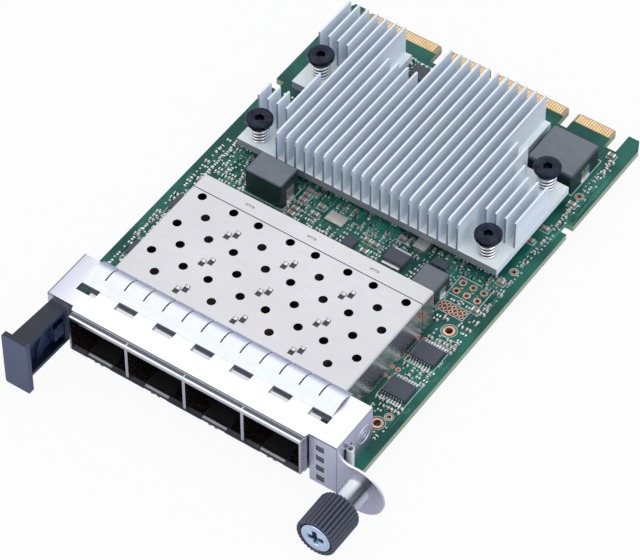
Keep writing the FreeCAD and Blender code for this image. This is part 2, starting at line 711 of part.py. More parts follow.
dividers = body("cage_dividers")
wall_shape = sketch(dividers, "YZ_Plane", "DividerOutline", FIRST_PORT + " + port_pitch / 2")
rectangle(wall_shape, "frame_depth - cage_front", FLOOR_LOW + " + cage_sheet",
          "-cage_rear - cage_sheet - 0.3", CAGE_TOP + " - cage_sheet")
wall = pad(dividers, wall_shape, "DividerWall", "cage_sheet", middle=True)
hem_shape = sketch(dividers, "XY_Plane", "DividerHem", FLOOR_LOW)
centred(hem_shape, FIRST_PORT + " + port_pitch / 2", "0.6 * frame_depth - cage_front",
        "divider_hem", "frame_depth * 0.8")
hem = pad(dividers, hem_shape, "Hem", "cage_height - cage_floor_gap - frame_lip")
row_of(dividers, [wall, hem], "DividerRow", hem_shape, "H_Axis", "port_pitch",
       "port_count - 1")

frame = body("port_frame")
FRAME_HALF = "(cage_half - 0.1)"
frame_shape = sketch(frame, "XZ_Plane", "FrameOutline", "cage_front - frame_depth")
polygon(frame_shape, [
    ("-" + FRAME_HALF, FLOOR_LOW),
    ("frame_wall - " + FRAME_HALF, FLOOR_LOW),
    ("frame_wall - " + FRAME_HALF, CAGE_TOP + " - frame_lip"),
    (FRAME_HALF + " - frame_wall", CAGE_TOP + " - frame_lip"),
    (FRAME_HALF + " - frame_wall", FLOOR_LOW),
    (FRAME_HALF, FLOOR_LOW),
    (FRAME_HALF, CAGE_TOP),
    ("-" + FRAME_HALF, CAGE_TOP),
])
frame_pad = pad(frame, frame_shape, "FrameRing", "frame_depth")
soften(frame, frame_pad, "FrameRoll", "frame_roll",
       lambda edge: lies_at(edge, z=size("board_thickness") + size("cage_height"))
       and (edge.BoundBox.XLength < 0.1 or lies_at(edge, y=-size("cage_front"))))

latches = body("port_latches")
latch_shape = sketch(latches, "YZ_Plane", "LatchProfile", FIRST_PORT)
FLOOR_TOP = FLOOR_LOW + " + cage_sheet"
polygon(latch_shape, [
    ("latch_length - cage_front", FLOOR_LOW),
    ("latch_length - cage_front", FLOOR_TOP),
    ("3.2 - cage_front", FLOOR_TOP),
    ("2.5 - cage_front", FLOOR_TOP + " + 0.25"),
    ("1.5 - cage_front", FLOOR_TOP),
    ("0.4 - cage_front", FLOOR_LOW + " - 0.3 * latch_drop"),
    ("-cage_front", FLOOR_LOW + " - 0.3 * latch_drop"),
    ("-cage_front", FLOOR_LOW + " - 0.8 * latch_drop"),
    ("0.2 - cage_front", FLOOR_LOW + " - latch_drop"),
    ("0.5 - cage_front", FLOOR_LOW + " - latch_drop"),
    ("0.6 - cage_front", FLOOR_LOW + " - 0.6 * latch_drop"),
    ("1.6 - cage_front", FLOOR_LOW),
])
latch_pad = pad(latches, latch_shape, "LatchTongue", "latch_width", middle=True)
latch_row = sketch(latches, "XY_Plane", "LatchRowAxis")
row_of(latches, [latch_pad], "LatchRow", latch_row, "H_Axis", "port_pitch", "port_count")

sockets = body("port_connectors")
socket_shape = sketch(sockets, "YZ_Plane", "SocketProfile", FIRST_PORT)
SOCKET_REAR = "-cage_seam - 0.6"
SOCKET_TOP = BOARD_TOP + " + connector_height"
polygon(socket_shape, [
    (SOCKET_REAR, BOARD_TOP),
    (SOCKET_REAR, SOCKET_TOP + " - 1"),
    (SOCKET_REAR + " - 1.5", SOCKET_TOP),
    (SOCKET_REAR + " - connector_length", SOCKET_TOP),
    (SOCKET_REAR + " - connector_length", SOCKET_TOP + " - 1.9"),
    (SOCKET_REAR + " - connector_length + 5", SOCKET_TOP + " - 1.9"),
    (SOCKET_REAR + " - connector_length + 5", SOCKET_TOP + " - 3.5"),
    (SOCKET_REAR + " - connector_length", SOCKET_TOP + " - 3.5"),
    (SOCKET_REAR + " - connector_length", BOARD_TOP + " + 1"),
    (SOCKET_REAR + " - connector_length + 1.5", BOARD_TOP),
])
socket_pad = pad(sockets, socket_shape, "Socket", "connector_width", middle=True)
socket_row = sketch(sockets, "XY_Plane", "SocketRowAxis")
row_of(sockets, [socket_pad], "SocketRow", socket_row, "H_Axis", "port_pitch", "port_count")


# Bracket with its ear, windows and light holes, and the finger strip on top

FLANGE_TOP = CAGE_TOP + " + bracket_sheet"
PLATE_INNER = "(cage_half + bracket_gap)"
FLANGE_REAR = "bracket_depth - bracket_face"

bracket = body("bracket")
plates = sketch(bracket, "XZ_Plane", "FacePlates", "bracket_face - bracket_sheet")
rectangle(plates, PLATE_INNER, "-light_plate_drop", "bracket_width / 2", FLANGE_TOP)
rectangle(plates, "-bracket_width / 2", "tab_plate_bottom", "-" + PLATE_INNER, FLANGE_TOP)
pad(bracket, plates, "FacePlatePad", "bracket_sheet")
ear_disc = sketch(bracket, "XZ_Plane", "EarDisc", "bracket_face - bracket_sheet")
circle(ear_disc, "screw_across", "screw_above", "ear_radius")
ear_feature = pad(bracket, ear_disc, "Ear", "bracket_sheet")
soften(bracket, ear_feature, "EarFillet", "ear_fillet",
       lambda edge: lies_at(edge, x=size("bracket_width") / 2) and edge.BoundBox.YLength > 0.3
       and near(edge.BoundBox.ZLength, 0) and 4 < edge.BoundBox.ZMin < 9)
flange = sketch(bracket, "XY_Plane", "TopFlange", CAGE_TOP)
polygon(flange, [
    ("-bracket_width / 2", FLANGE_REAR),
    ("-bracket_width / 2", "-bracket_face"),
    ("-" + PLATE_INNER, "-bracket_face"),
    ("0.4 - " + PLATE_INNER, "-bracket_face - flange_lip"),
    (PLATE_INNER + " - 0.4", "-bracket_face - flange_lip"),
    (PLATE_INNER, "-bracket_face"),
    ("bracket_width / 2", "-bracket_face"),
    ("bracket_width / 2", FLANGE_REAR),
])
pad(bracket, flange, "FlangePad", "bracket_sheet")
SLOT_FRONT = "wing_slot_front - bracket_face"
SLOT_REAR = "wing_slot_front + wing_slot_width - bracket_face"
for name, side in (("Right", ""), ("Left", "-")):
    reach = "bracket_width / 2" if name == "Left" else "bracket_width / 2 - bracket_sheet"
    wing = sketch(bracket, "YZ_Plane", name + "Wing", "%s(%s)" % (side, reach))
    polygon(wing, [
        ("-bracket_face", BOARD_TOP + " + wing_foot"),
        ("-bracket_face", FLANGE_TOP),
        (FLANGE_REAR, FLANGE_TOP),
        (FLANGE_REAR, BOARD_TOP + " + wing_foot"),
        (FLANGE_REAR + " - 1.3", BOARD_TOP),
        (SLOT_REAR, BOARD_TOP),
        (SLOT_REAR, BOARD_TOP + " + wing_slot_height"),
        (SLOT_FRONT, BOARD_TOP + " + wing_slot_height"),
        (SLOT_FRONT, BOARD_TOP + " + wing_foot"),
    ])
    wing_pad = pad(bracket, wing, name + "WingPad", "bracket_sheet")
soften(bracket, wing_pad, "FoldRadius", "bracket_sheet * 0.6",
       lambda edge: edge.BoundBox.YLength > 8 and near(edge.BoundBox.XLength, 0)
       and lies_at(edge, z=size("board_thickness") + size("cage_height")
                   + size("bracket_sheet"))
       and near(abs(edge.BoundBox.XMin), size("bracket_width") / 2))
windows = sketch(bracket, "XY_Plane", "FlangeWindow", FLANGE_TOP)
centred(windows, "window_first", "window_setback + window_length / 2 - bracket_face",
        "window_width", "window_length")
window_cut = pocket(bracket, windows, "WindowCut", "bracket_sheet")
row_of(bracket, [window_cut], "WindowRow", windows, "H_Axis", "window_pitch",
       "window_count")
light_hole = sketch(bracket, "XZ_Plane", "LightHole", "bracket_face - bracket_sheet")
centred(light_hole, "light_across", "light_lowest", "light_width", "light_height")
light_cut = pocket(bracket, light_hole, "LightHoleCut", "bracket_sheet", reverse=True)
row_of(bracket, [light_cut], "LightHoles", light_hole, "V_Axis", "light_pitch", "4")
collar_hole = sketch(bracket, "XZ_Plane", "CollarHole", "bracket_face - bracket_sheet")
circle(collar_hole, "screw_across", "screw_above", "collar_radius")
TAB_CENTRE = "tab_outer + tab_width / 2 + 0.1"
TAB_MIDDLE = "tab_plate_bottom + tab_body_height / 2"
circle(collar_hole, TAB_CENTRE, TAB_MIDDLE, "tab_screw_radius + 0.15")
pocket(bracket, collar_hole, "CollarHoleCut", "bracket_sheet", reverse=True)

clips = body("side_clips")
clip_shape = sketch(clips, "XY_Plane", "ClipSection", BOARD_TOP)
CLIP_CENTRE = "wing_slot_front + wing_slot_width / 2 - bracket_face"
WING_INNER = "bracket_width / 2 - bracket_sheet"
circle(clip_shape, "bracket_width / 2 + clip_radius - bracket_sheet / 2", CLIP_CENTRE,
       "clip_radius")
circle(clip_shape, "bracket_width / 2 + clip_radius - bracket_sheet / 2", CLIP_CENTRE,
       "clip_radius - clip_sheet")
roll = pad(clips, clip_shape, "ClipRoll", "wing_slot_height - latch_gap")
leg_shape = sketch(clips, "XY_Plane", "ClipLeg", BOARD_TOP + " + latch_gap")
polygon(leg_shape, [
    (WING_INNER + " - clip_sheet", CLIP_CENTRE + " + 0.5 * clip_radius"),
    (WING_INNER + " + 2 * clip_sheet", CLIP_CENTRE + " + 0.5 * clip_radius"),
    (WING_INNER + " + 2 * clip_sheet", CLIP_CENTRE + " + 0.5 * clip_radius + clip_sheet"),
    (WING_INNER, CLIP_CENTRE + " + 0.5 * clip_radius + clip_sheet"),
    (WING_INNER, FLANGE_REAR + " - 0.5"),
    (WING_INNER + " - clip_sheet", FLANGE_REAR + " - 0.5"),
])
leg = pad(clips, leg_shape, "ClipLegPad", "wing_slot_height - 2 * latch_gap")
both = clips.newObject("PartDesign::Mirrored", "BothClips")
both.Originals = [roll, leg]
both.MirrorPlane = (origin_plane(clips, "YZ_Plane"), [""])
clips.Tip = both

strip = body("finger_strip")
WINDOW_REAR = "window_setback + window_length - bracket_face"
strip_shape = sketch(strip, "YZ_Plane", "StripProfile", "strip_left")
strip_path = (
    (WINDOW_REAR, FLANGE_TOP),
    (WINDOW_REAR + " + 1.4", FLANGE_TOP + " + 0.7 * strip_camber"),
    (WINDOW_REAR + " + 3.6", FLANGE_TOP + " + strip_camber"),
    (FLANGE_REAR + " - 1.1", FLANGE_TOP + " + 0.7 * strip_camber"),
    (FLANGE_REAR + " + 0.2", FLANGE_TOP),
    (FLANGE_REAR + " + 1.2", CAGE_TOP),
    (FLANGE_REAR + " + strip_overhang", CAGE_TOP),
)
polygon(strip_shape, list(strip_path)
        + [(along, up + " + strip_thickness") for along, up in strip_path[::-1]])
strip_pad = pad(strip, strip_shape, "StripPad", "strip_width")
hook_shape = sketch(strip, "XY_Plane", "WindowHook", CAGE_TOP)
HOOK_FRONT = WINDOW_REAR + " - strip_thickness - 0.05"
rectangle(hook_shape, "window_first - window_width / 2 + 0.3", HOOK_FRONT,
          "window_first + window_width / 2 - 0.3", WINDOW_REAR + " - 0.05")
hook_pad = pad(strip, hook_shape, "HookPad", "bracket_sheet + strip_thickness")
hook_join = sketch(strip, "XY_Plane", "HookJoin", FLANGE_TOP)
rectangle(hook_join, "window_first - window_width / 2 + 0.3", HOOK_FRONT,
          "window_first + window_width / 2 - 0.3", WINDOW_REAR + " + 0.3")
join_pad = pad(strip, hook_join, "HookJoinPad", "strip_thickness")
row_of(strip, [hook_pad, join_pad], "HookRow", hook_shape, "H_Axis", "window_pitch",
       "window_count")
slit = sketch(strip, "XY_Plane", "FingerSlit", CAGE_TOP)
rectangle(slit, "strip_left + strip_first_finger - strip_slit / 2",
          "strip_slit_front - bracket_face",
          "strip_left + strip_first_finger + strip_slit / 2",
          FLANGE_REAR + " + strip_overhang + 0.5")
slit_cut = pocket(strip, slit, "SlitCut", "2 * bracket_sheet + strip_camber", reverse=True)
row_of(strip, [slit_cut], "SlitRow", slit, "H_Axis",
       "(strip_width - strip_first_finger) / (strip_finger_count - 1)",
       "strip_finger_count - 1")

guide = body("light_guide")
guide_shape = sketch(guide, "YZ_Plane", "GuideProfile", "light_across - light_width / 2 + 0.2")
GUIDE_FRONT = "0.35 - bracket_face"
GUIDE_STEM = "3 - bracket_face"
prongs = []
for place in (1, 2, 3):
    height = "light_lowest + light_pitch * %d" % place
    low = height + " - light_height / 2 + 0.2"
    high = height + " + light_height / 2 - 0.2"
    prongs += [(GUIDE_STEM, low), (GUIDE_FRONT, low), (GUIDE_FRONT, high), (GUIDE_STEM, high)]
GUIDE_TOP = "light_lowest + light_pitch * 3 + light_height / 2 + 0.3"
polygon(guide_shape, [
    ("7 - bracket_face", BOARD_TOP),
    (GUIDE_STEM, BOARD_TOP),
] + prongs + [
    (GUIDE_STEM, GUIDE_TOP),
    (GUIDE_STEM + " + 2", GUIDE_TOP),
    ("7 - bracket_face", GUIDE_TOP + " - light_pitch"),
])
pad(guide, guide_shape, "GuideBlock", "light_width - 0.4")


# Captive thumbscrew: collar in the ear, washer, spring, screw and knob

KNOB_REAR = "bracket_face + knob_standout"
KNOB_FRONT = "bracket_face + knob_standout + knob_length"
COLLAR_END = "bracket_face + knob_standout + collar_overlap"
WASHER_BACK = COLLAR_END + " + thumb_travel + 0.4"
WASHER_FRONT = WASHER_BACK + " - washer_thickness"
COLLAR_INNER = "bracket_face + collar_seat"

# Each of these is turned about the screw's own axis, drawn along V_Axis with the
# distance in front of the datum upwards, and then laid over onto the card's -Y.


def lay_over(item, across="screw_across", above="screw_above"):
    """Point a turned piece's axis along -Y, through the ear unless told otherwise."""
    item.Placement = FreeCAD.Placement(
        FreeCAD.Vector(0, 0, 0), FreeCAD.Rotation(FreeCAD.Vector(1, 0, 0), 90))
    item.setExpression("Placement.Base.x", bound(across))
    item.setExpression("Placement.Base.z", bound(above))


collar = body("thumbscrew_collar")
collar_half = sketch(collar, "XZ_Plane", "CollarHalf")
polygon(collar_half, [
    ("thumb_shank_radius + 0.25", "bracket_face - bracket_sheet"),
    ("collar_radius", "bracket_face - bracket_sheet"),
    ("collar_radius", "bracket_face"),
    ("collar_flange_radius", "bracket_face"),
    ("collar_flange_radius", "bracket_face + collar_flange"),
    ("collar_radius", "bracket_face + collar_flange"),
    ("collar_radius", COLLAR_END),
    ("collar_bore", COLLAR_END),
    ("collar_bore", COLLAR_INNER),
    ("thumb_shank_radius + 0.25", COLLAR_INNER),
])
turned(collar, collar_half, "CollarTurned")
lay_over(collar)

washer = body("thumbscrew_washer")
washer_half = sketch(washer, "XZ_Plane", "WasherHalf")
rectangle(washer_half, "thumb_shank_radius + 0.15", WASHER_FRONT,
          "collar_bore - running_gap", WASHER_BACK)
turned(washer, washer_half, "WasherTurned")
lay_over(washer)

SPRING_REAR = COLLAR_INNER + " + 0.02"
thumb_room = (size("knob_standout") + size("collar_overlap") + size("thumb_travel") + 0.4
              - size("washer_thickness") - size("collar_seat"))
thumb_spring = doc.addObject("Part::Feature", "thumbscrew_spring")
thumb_spring.Shape = coil(
    size("collar_bore") - 0.1 - size("thumb_spring_wire"), size("thumb_spring_wire"),
    thumb_room - size("thumb_spring_wire") - 0.04, size("thumb_spring_turns"))
lay_over(thumb_spring)
thumb_spring.setExpression("Placement.Base.y", bound("-(%s)" % SPRING_REAR))

thumb = body("thumbscrew_screw")
thumb_half = sketch(thumb, "XZ_Plane", "ScrewHalf")
HEAD_FRONT = KNOB_FRONT + " - 0.4"
HEAD_BACK = HEAD_FRONT + " - thumb_head_height"
THREAD_FRONT = "bracket_face - bracket_sheet - 0.1"
polygon(thumb_half, [
    ("0", THREAD_FRONT + " - thumb_thread_length"),
    ("thumb_thread_radius - 0.5", THREAD_FRONT + " - thumb_thread_length"),
    ("thumb_thread_radius", THREAD_FRONT + " - thumb_thread_length + 0.5"),
    ("thumb_thread_radius", THREAD_FRONT + " - 0.4"),
    ("thumb_shank_radius", THREAD_FRONT),
    ("thumb_shank_radius", HEAD_BACK),
    ("thumb_head_radius", HEAD_BACK),
    ("thumb_head_radius", HEAD_FRONT + " - 0.35"),
    ("thumb_head_radius - 0.35", HEAD_FRONT),
    ("0", HEAD_FRONT),
])
turned(thumb, thumb_half, "ScrewTurned")
cross = sketch(thumb, "XY_Plane", "CrossRecess", HEAD_FRONT)
polygon(cross, [
    ("0.4", "1.7"), ("-0.4", "1.7"), ("-0.4", "0.4"), ("-1.7", "0.4"),
    ("-1.7", "-0.4"), ("-0.4", "-0.4"), ("-0.4", "-1.7"), ("0.4", "-1.7"),
    ("0.4", "-0.4"), ("1.7", "-0.4"), ("1.7", "0.4"), ("0.4", "0.4"),
])
pocket(thumb, cross, "CrossRecessCut", "thumb_head_height * 0.6")
lay_over(thumb)

knob = body("thumbscrew_knob")
knob_half = sketch(knob, "XZ_Plane", "KnobHalf")
polygon(knob_half, [
    ("collar_radius + running_gap", KNOB_REAR),
    ("knob_radius - knob_rear_round", KNOB_REAR),
    ("knob_radius", KNOB_REAR + " + knob_rear_round"),
    ("knob_radius", KNOB_FRONT + " - knob_front_round"),
    ("knob_radius - knob_front_round", KNOB_FRONT),
    ("thumb_head_radius + 0.5", KNOB_FRONT),
    ("thumb_head_radius", HEAD_FRONT + " - 0.3"),
    ("thumb_head_radius", HEAD_BACK),
    ("thumb_shank_radius", HEAD_BACK),
    ("thumb_shank_radius", WASHER_BACK),
    ("collar_radius + running_gap", WASHER_BACK),
])
turned(knob, knob_half, "KnobTurned")
flute = sketch(knob, "XY_Plane", "KnobFlute", KNOB_REAR + " + knob_rear_round + 0.05")
polygon(flute, [
    ("knob_radius - knob_rib_depth", "0"),
    ("knob_radius + 0.3", "-0.42"),
    ("knob_radius + 0.3", "0.42"),
])
flute_cut = pocket(knob, flute, "KnobFluteCut",
                   "knob_length - knob_rear_round - knob_front_round - 0.35", reverse=True)
flutes = knob.newObject("PartDesign::PolarPattern", "KnobFlutes")
flutes.Originals = [flute_cut]
flutes.Axis = (flute, ["N_Axis"])
flutes.Angle = 360.0
flutes.setExpression("Occurrences", bound("knob_rib_count"))
knob.Tip = flutes
lay_over(knob)


# Pull tab and the screw that holds it to the bracket

TAB_FRONT = "bracket_face + tab_reach"
TAB_FLOOR = "tab_plate_bottom"
tab = body("pull_tab")
tab_plan = sketch(tab, "XY_Plane", "TabPlan", TAB_FLOOR)
polygon(tab_plan, [
    ("tab_outer + 1.25", "-bracket_face"),
    ("tab_outer + 0.4", "tab_grip - (%s)" % TAB_FRONT),
    ("tab_outer + tab_width - 1.3", "tab_grip - (%s)" % TAB_FRONT),
    ("tab_outer + tab_width - 1", "-bracket_face"),
])
tab_block = pad(tab, tab_plan, "TabBlock", "tab_body_height")
inside = sketch(tab, "YZ_Plane", "TabInside", "tab_outer + tab_width")
polygon(inside, [
    ("-bracket_face - 1.1", TAB_FLOOR + " + tab_wall"),
    ("-bracket_face - 1.1", TAB_FLOOR + " + tab_body_height - tab_wall"),
    ("-bracket_face - 4.6", TAB_FLOOR + " + tab_body_height - tab_wall"),
    ("-bracket_face - 4.9", TAB_FLOOR + " + tab_body_height - 3.4"),
    ("-bracket_face - 6.2", TAB_FLOOR + " + tab_body_height - 5.6"),
    ("-bracket_face - 6.2", TAB_FLOOR + " + tab_wall"),
])
pocket(tab, inside, "TabInsideCut", "tab_width - 1 - tab_wall - 1.25")
scoop = sketch(tab, "YZ_Plane", "TabScoop", "tab_outer + tab_width")
polygon(scoop, [
    ("-bracket_face - 8.4", TAB_FLOOR + " + tab_wall"),
    ("-bracket_face - 8.0", TAB_FLOOR + " + 3.6"),
    ("-bracket_face - 6.9", TAB_FLOOR + " + tab_body_height - 4.4"),
    ("-bracket_face - 5.4", TAB_FLOOR + " + tab_body_height - tab_wall"),
    ("tab_grip - (%s)" % TAB_FRONT, TAB_FLOOR + " + tab_body_height - tab_wall"),
    ("tab_grip - (%s)" % TAB_FRONT, TAB_FLOOR + " + tab_wall"),
])
pocket(tab, scoop, "TabScoopCut", "tab_width - 1.3 - tab_wall - 0.6")
ledge = sketch(tab, "YZ_Plane", "TabLedge", "tab_outer + tab_width")
rectangle(ledge, "-bracket_face - 8.5", TAB_FLOOR + " + tab_wall",
          "-bracket_face - 5", TAB_FLOOR + " + tab_body_height - tab_wall")
pocket(tab, ledge, "TabLedgeCut", "tab_width / 2 - 0.4")
grip = sketch(tab, "XZ_Plane", "GripPlate", TAB_FRONT + " - tab_grip")
centred(grip, "tab_outer + tab_width / 2", TAB_MIDDLE,
        "tab_width", "tab_grip_height")
grip_pad = pad(tab, grip, "GripPad", "tab_grip")
GRIP_REAR = size("tab_grip") - size("bracket_face") - size("tab_reach")
soften(tab, grip_pad, "GripCorners", "tab_grip / 2",
       lambda edge: near(edge.BoundBox.YLength, size("tab_grip"))
       and near(edge.BoundBox.XLength, 0) and near(edge.BoundBox.ZLength, 0)
       and edge.BoundBox.YMax < GRIP_REAR + 0.01)
boss_shape = sketch(tab, "XY_Plane", "BossOutline", TAB_MIDDLE)
rectangle(boss_shape, "%s - tab_screw_radius - tab_wall" % TAB_CENTRE,
          "-bracket_face - tab_screw_length - tab_wall",
          "%s + tab_screw_radius + tab_wall" % TAB_CENTRE, "-bracket_face")
pad(tab, boss_shape, "ScrewBoss", "2 * (tab_screw_radius + tab_wall)", middle=True)
pilot = sketch(tab, "XZ_Plane", "ScrewPilot", "bracket_face")
circle(pilot, TAB_CENTRE, TAB_MIDDLE, "tab_screw_radius")
pocket(tab, pilot, "ScrewPilotCut", "tab_screw_length", reverse=True)

tab_screw = body("pull_tab_screw")
tab_screw_half = sketch(tab_screw, "XZ_Plane", "TabScrewHalf")
polygon(tab_screw_half, [
    ("0", "bracket_face - bracket_sheet - 0.9"),
    ("tab_screw_radius * 1.5", "bracket_face - bracket_sheet - 0.9"),
    ("tab_screw_radius * 1.9", "bracket_face - bracket_sheet - 0.5"),
    ("tab_screw_radius * 1.9", "bracket_face - bracket_sheet"),
    ("tab_screw_radius", "bracket_face - bracket_sheet"),
    ("tab_screw_radius", "bracket_face + tab_screw_length - 0.5"),
    ("0", "bracket_face + tab_screw_length"),
])
turned(tab_screw, tab_screw_half, "TabScrewTurned")
lay_over(tab_screw, TAB_CENTRE, TAB_MIDDLE)


# Parts soldered to the board


def block(label, across, along, width, length, height, corner=None):
    """A moulded block on the board, centred at a place, with its edges eased."""
    item = body(label)
    drawing = sketch(item, "XY_Plane", "Outline", BOARD_TOP)
    centred(drawing, across, along, width, length)
    feature = pad(item, drawing, "Block", height)
    if corner:
        soften(item, feature, "EasedEdges", corner,
               lambda edge: edge.BoundBox.ZMin > size("board_thickness") + 0.1
               or edge.BoundBox.ZLength > 0.5, kind="PartDesign::Chamfer")
    return item


block("inductor_rear", from_right("11"), "-4.1", "choke_rear_size", "choke_rear_size",
      "choke_rear_height", "0.35")
block("inductor_front", from_right("15.2"), "-48.75", "choke_front_size", "choke_front_size",
      "choke_front_height", "0.3")
block("inductor_left", from_left("18.05"), "-44.6", "choke_left_width", "choke_left_length",
      "choke_left_height", "0.25")
block("crystal_oscillator", "-3.75", "-44.05", "4.5", "2.9", "0.85", "0.12")
block("small_controller", "2.1", "-47.7", "2.7", "2.8", "0.8")
block("rectifier_diode", "13", "-46.45", "5", "3.6", "1.9", "0.2")
block("polymer_capacitor", "15.4", "-40.3", "3", "3.4", "1.6")
block("regulator_chip", from_right("16.9"), "-42.1", "3.4", "2", "0.95")

diode_ends = body("rectifier_ends")
ends_shape = sketch(diode_ends, "XY_Plane", "DiodeEnds", BOARD_TOP)
for along in ("-48.65", "-44.25"):
    centred(ends_shape, "13", along, "4.2", "0.8")
pad(diode_ends, ends_shape, "DiodeEndPads", "1.2")

BUFFERS = (
    (from_right("5.8"), "-63.9"), (from_right("5.4"), "-74.8"),
    (from_left("6.15"), "-59.4"), (from_left("6.15"), "-74.6"),
)
buffers = body("buffer_chips")
buffer_shape = sketch(buffers, "XY_Plane", "BufferOutlines", BOARD_TOP + " + 0.1")
for across, along in BUFFERS:
    centred(buffer_shape, across, along, "buffer_width", "buffer_length")
centred(buffer_shape, "-12.4", "1.15", "4.9", "3.9")
pad(buffers, buffer_shape, "BufferBlocks", "buffer_height")

leads = body("chip_leads")
for number, (across, along) in enumerate(BUFFERS):
    lead_shape = sketch(leads, "XY_Plane", "BufferLead%d" % number, BOARD_TOP)
    for side in (1, -1):
        centred(lead_shape, "%s - lead_pitch * 3.5" % across,
                "%s + %d * (buffer_length / 2 + lead_reach / 2)" % (along, side),
                "lead_width", "lead_reach")
    lead_pad = pad(leads, lead_shape, "BufferLeadPad%d" % number, "0.35")
    row_of(leads, [lead_pad], "BufferLeadRow%d" % number, lead_shape, "H_Axis",
           "lead_pitch", "8")
memory_lead = sketch(leads, "XY_Plane", "MemoryLead", BOARD_TOP)
for side in (1, -1):
    centred(memory_lead, "-12.4 - 1.905", "1.15 + %d * 2.4" % side, "0.42", "0.9")
memory_pad = pad(leads, memory_lead, "MemoryLeadPad", "0.35")
row_of(leads, [memory_pad], "MemoryLeadRow", memory_lead, "H_Axis", "1.27", "4")

CAPACITORS = (
    ("5", "-45.2"), ("6.95", "-45.3"), ("6", "-48.2"), ("-12.75", "-40.6"),
    ("-12.7", "-41.9"), ("-12.7", "-43.5"), ("-12.6", "-46.4"), ("-12.6", "-48.1"),
    ("-8.3", "-42.8"), ("-8.3", "-45.4"), ("10.7", "-40.6"),
    (from_right("4.3"), "-21.4"), (from_right("5.1"), "-25.9"), (from_right("4"), "-39.1"),
    (from_right("4.1"), "-48.6"), (from_right("3.8"), "4.2"), (from_right("3.4"), "-12.4"),
    (from_left("9.4"), "-23.6"), (from_left("9.4"), "-21.4"),
)
ceramics = body("ceramic_capacitors")
ceramic_shape = sketch(ceramics, "XY_Plane", "CapacitorOutlines", BOARD_TOP)
for across, along in CAPACITORS:
    centred(ceramic_shape, across, along, "small_part_length", "small_part_width")
pad(ceramics, ceramic_shape, "CapacitorBlocks", "small_part_height")

RESISTORS = (
    ("-10.4", "-43.2"), ("8.6", "-43"), ("-9.9", "-40.9"), ("3", "-41"), ("-1", "-41"),
    ("18", "-43"), (from_left("5"), "-42"), (from_left("5"), "-40.6"),
    (from_right("11.6"), "-41.5"), (from_right("9.6"), "-41.4"),
    (from_right("2.8"), "-30"), (from_right("2.8"), "-28.6"),
)
resistors = body("chip_resistors")
resistor_shape = sketch(resistors, "XY_Plane", "ResistorOutlines", BOARD_TOP)
for across, along in RESISTORS:
    centred(resistor_shape, across, along, "1", "0.5")
pad(resistors, resistor_shape, "ResistorBlocks", "0.35")


# Check every object, then write each piece to its own file

doc.recompute()
PIECES = [item for item in doc.Objects
          if item.TypeId in ("PartDesign::Body", "Part::Feature")]
for item in doc.Objects:
    if "Invalid" in item.State or "Error" in item.State:
        raise RuntimeError("%s did not compute" % item.Label)
for piece in PIECES:
    if piece.Shape.isNull() or not piece.Shape.isValid():
        raise RuntimeError("%s has no valid shape" % piece.Label)

os.makedirs("parts", exist_ok=True)
for piece in PIECES:
    piece.Shape.exportStep(os.path.join("parts", piece.Label + ".step"))
print("%d pieces written" % len(PIECES))
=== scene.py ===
import json
import math
import random

import bmesh
import bpy
from mathutils import Matrix, Vector


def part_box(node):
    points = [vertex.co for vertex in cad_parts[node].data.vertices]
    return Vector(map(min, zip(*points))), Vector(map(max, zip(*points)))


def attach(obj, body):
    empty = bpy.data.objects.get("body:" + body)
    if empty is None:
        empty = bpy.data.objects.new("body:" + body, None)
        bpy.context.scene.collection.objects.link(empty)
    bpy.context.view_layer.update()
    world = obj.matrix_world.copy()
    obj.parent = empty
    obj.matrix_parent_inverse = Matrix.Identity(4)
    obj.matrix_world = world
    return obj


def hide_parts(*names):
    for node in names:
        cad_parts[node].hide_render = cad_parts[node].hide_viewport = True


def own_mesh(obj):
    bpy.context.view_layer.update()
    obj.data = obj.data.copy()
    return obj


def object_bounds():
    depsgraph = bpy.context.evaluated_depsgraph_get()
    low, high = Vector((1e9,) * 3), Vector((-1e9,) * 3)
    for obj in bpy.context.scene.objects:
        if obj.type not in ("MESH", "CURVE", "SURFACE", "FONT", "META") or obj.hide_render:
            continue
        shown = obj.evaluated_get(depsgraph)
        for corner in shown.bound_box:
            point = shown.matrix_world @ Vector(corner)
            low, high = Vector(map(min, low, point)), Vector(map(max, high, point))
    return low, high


# Looks of the mezzanine network card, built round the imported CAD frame. X runs across the
# card with the thumbscrew on +X, Y runs from the bracket to the edge contacts, Z is up.
# Places in this file are in millimetres and are turned into metres where a mesh is made.

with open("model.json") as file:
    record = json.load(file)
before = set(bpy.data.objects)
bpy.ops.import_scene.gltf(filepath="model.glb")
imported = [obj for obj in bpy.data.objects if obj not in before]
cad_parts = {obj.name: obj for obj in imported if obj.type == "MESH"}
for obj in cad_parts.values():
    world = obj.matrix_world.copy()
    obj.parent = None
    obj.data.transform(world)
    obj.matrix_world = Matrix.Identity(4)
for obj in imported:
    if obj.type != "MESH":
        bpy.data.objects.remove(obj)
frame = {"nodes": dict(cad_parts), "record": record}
cad_low, cad_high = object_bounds()
nodes = frame["nodes"]
MM = 0.001
RIGHT = Vector((1.0, 0.0, 0.0))
BACK = Vector((0.0, 1.0, 0.0))
UP = Vector((0.0, 0.0, 1.0))


def box_of(node):
    """Lowest and highest corner of a CAD node, in millimetres."""
    low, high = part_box(node)
    return low / MM, high / MM


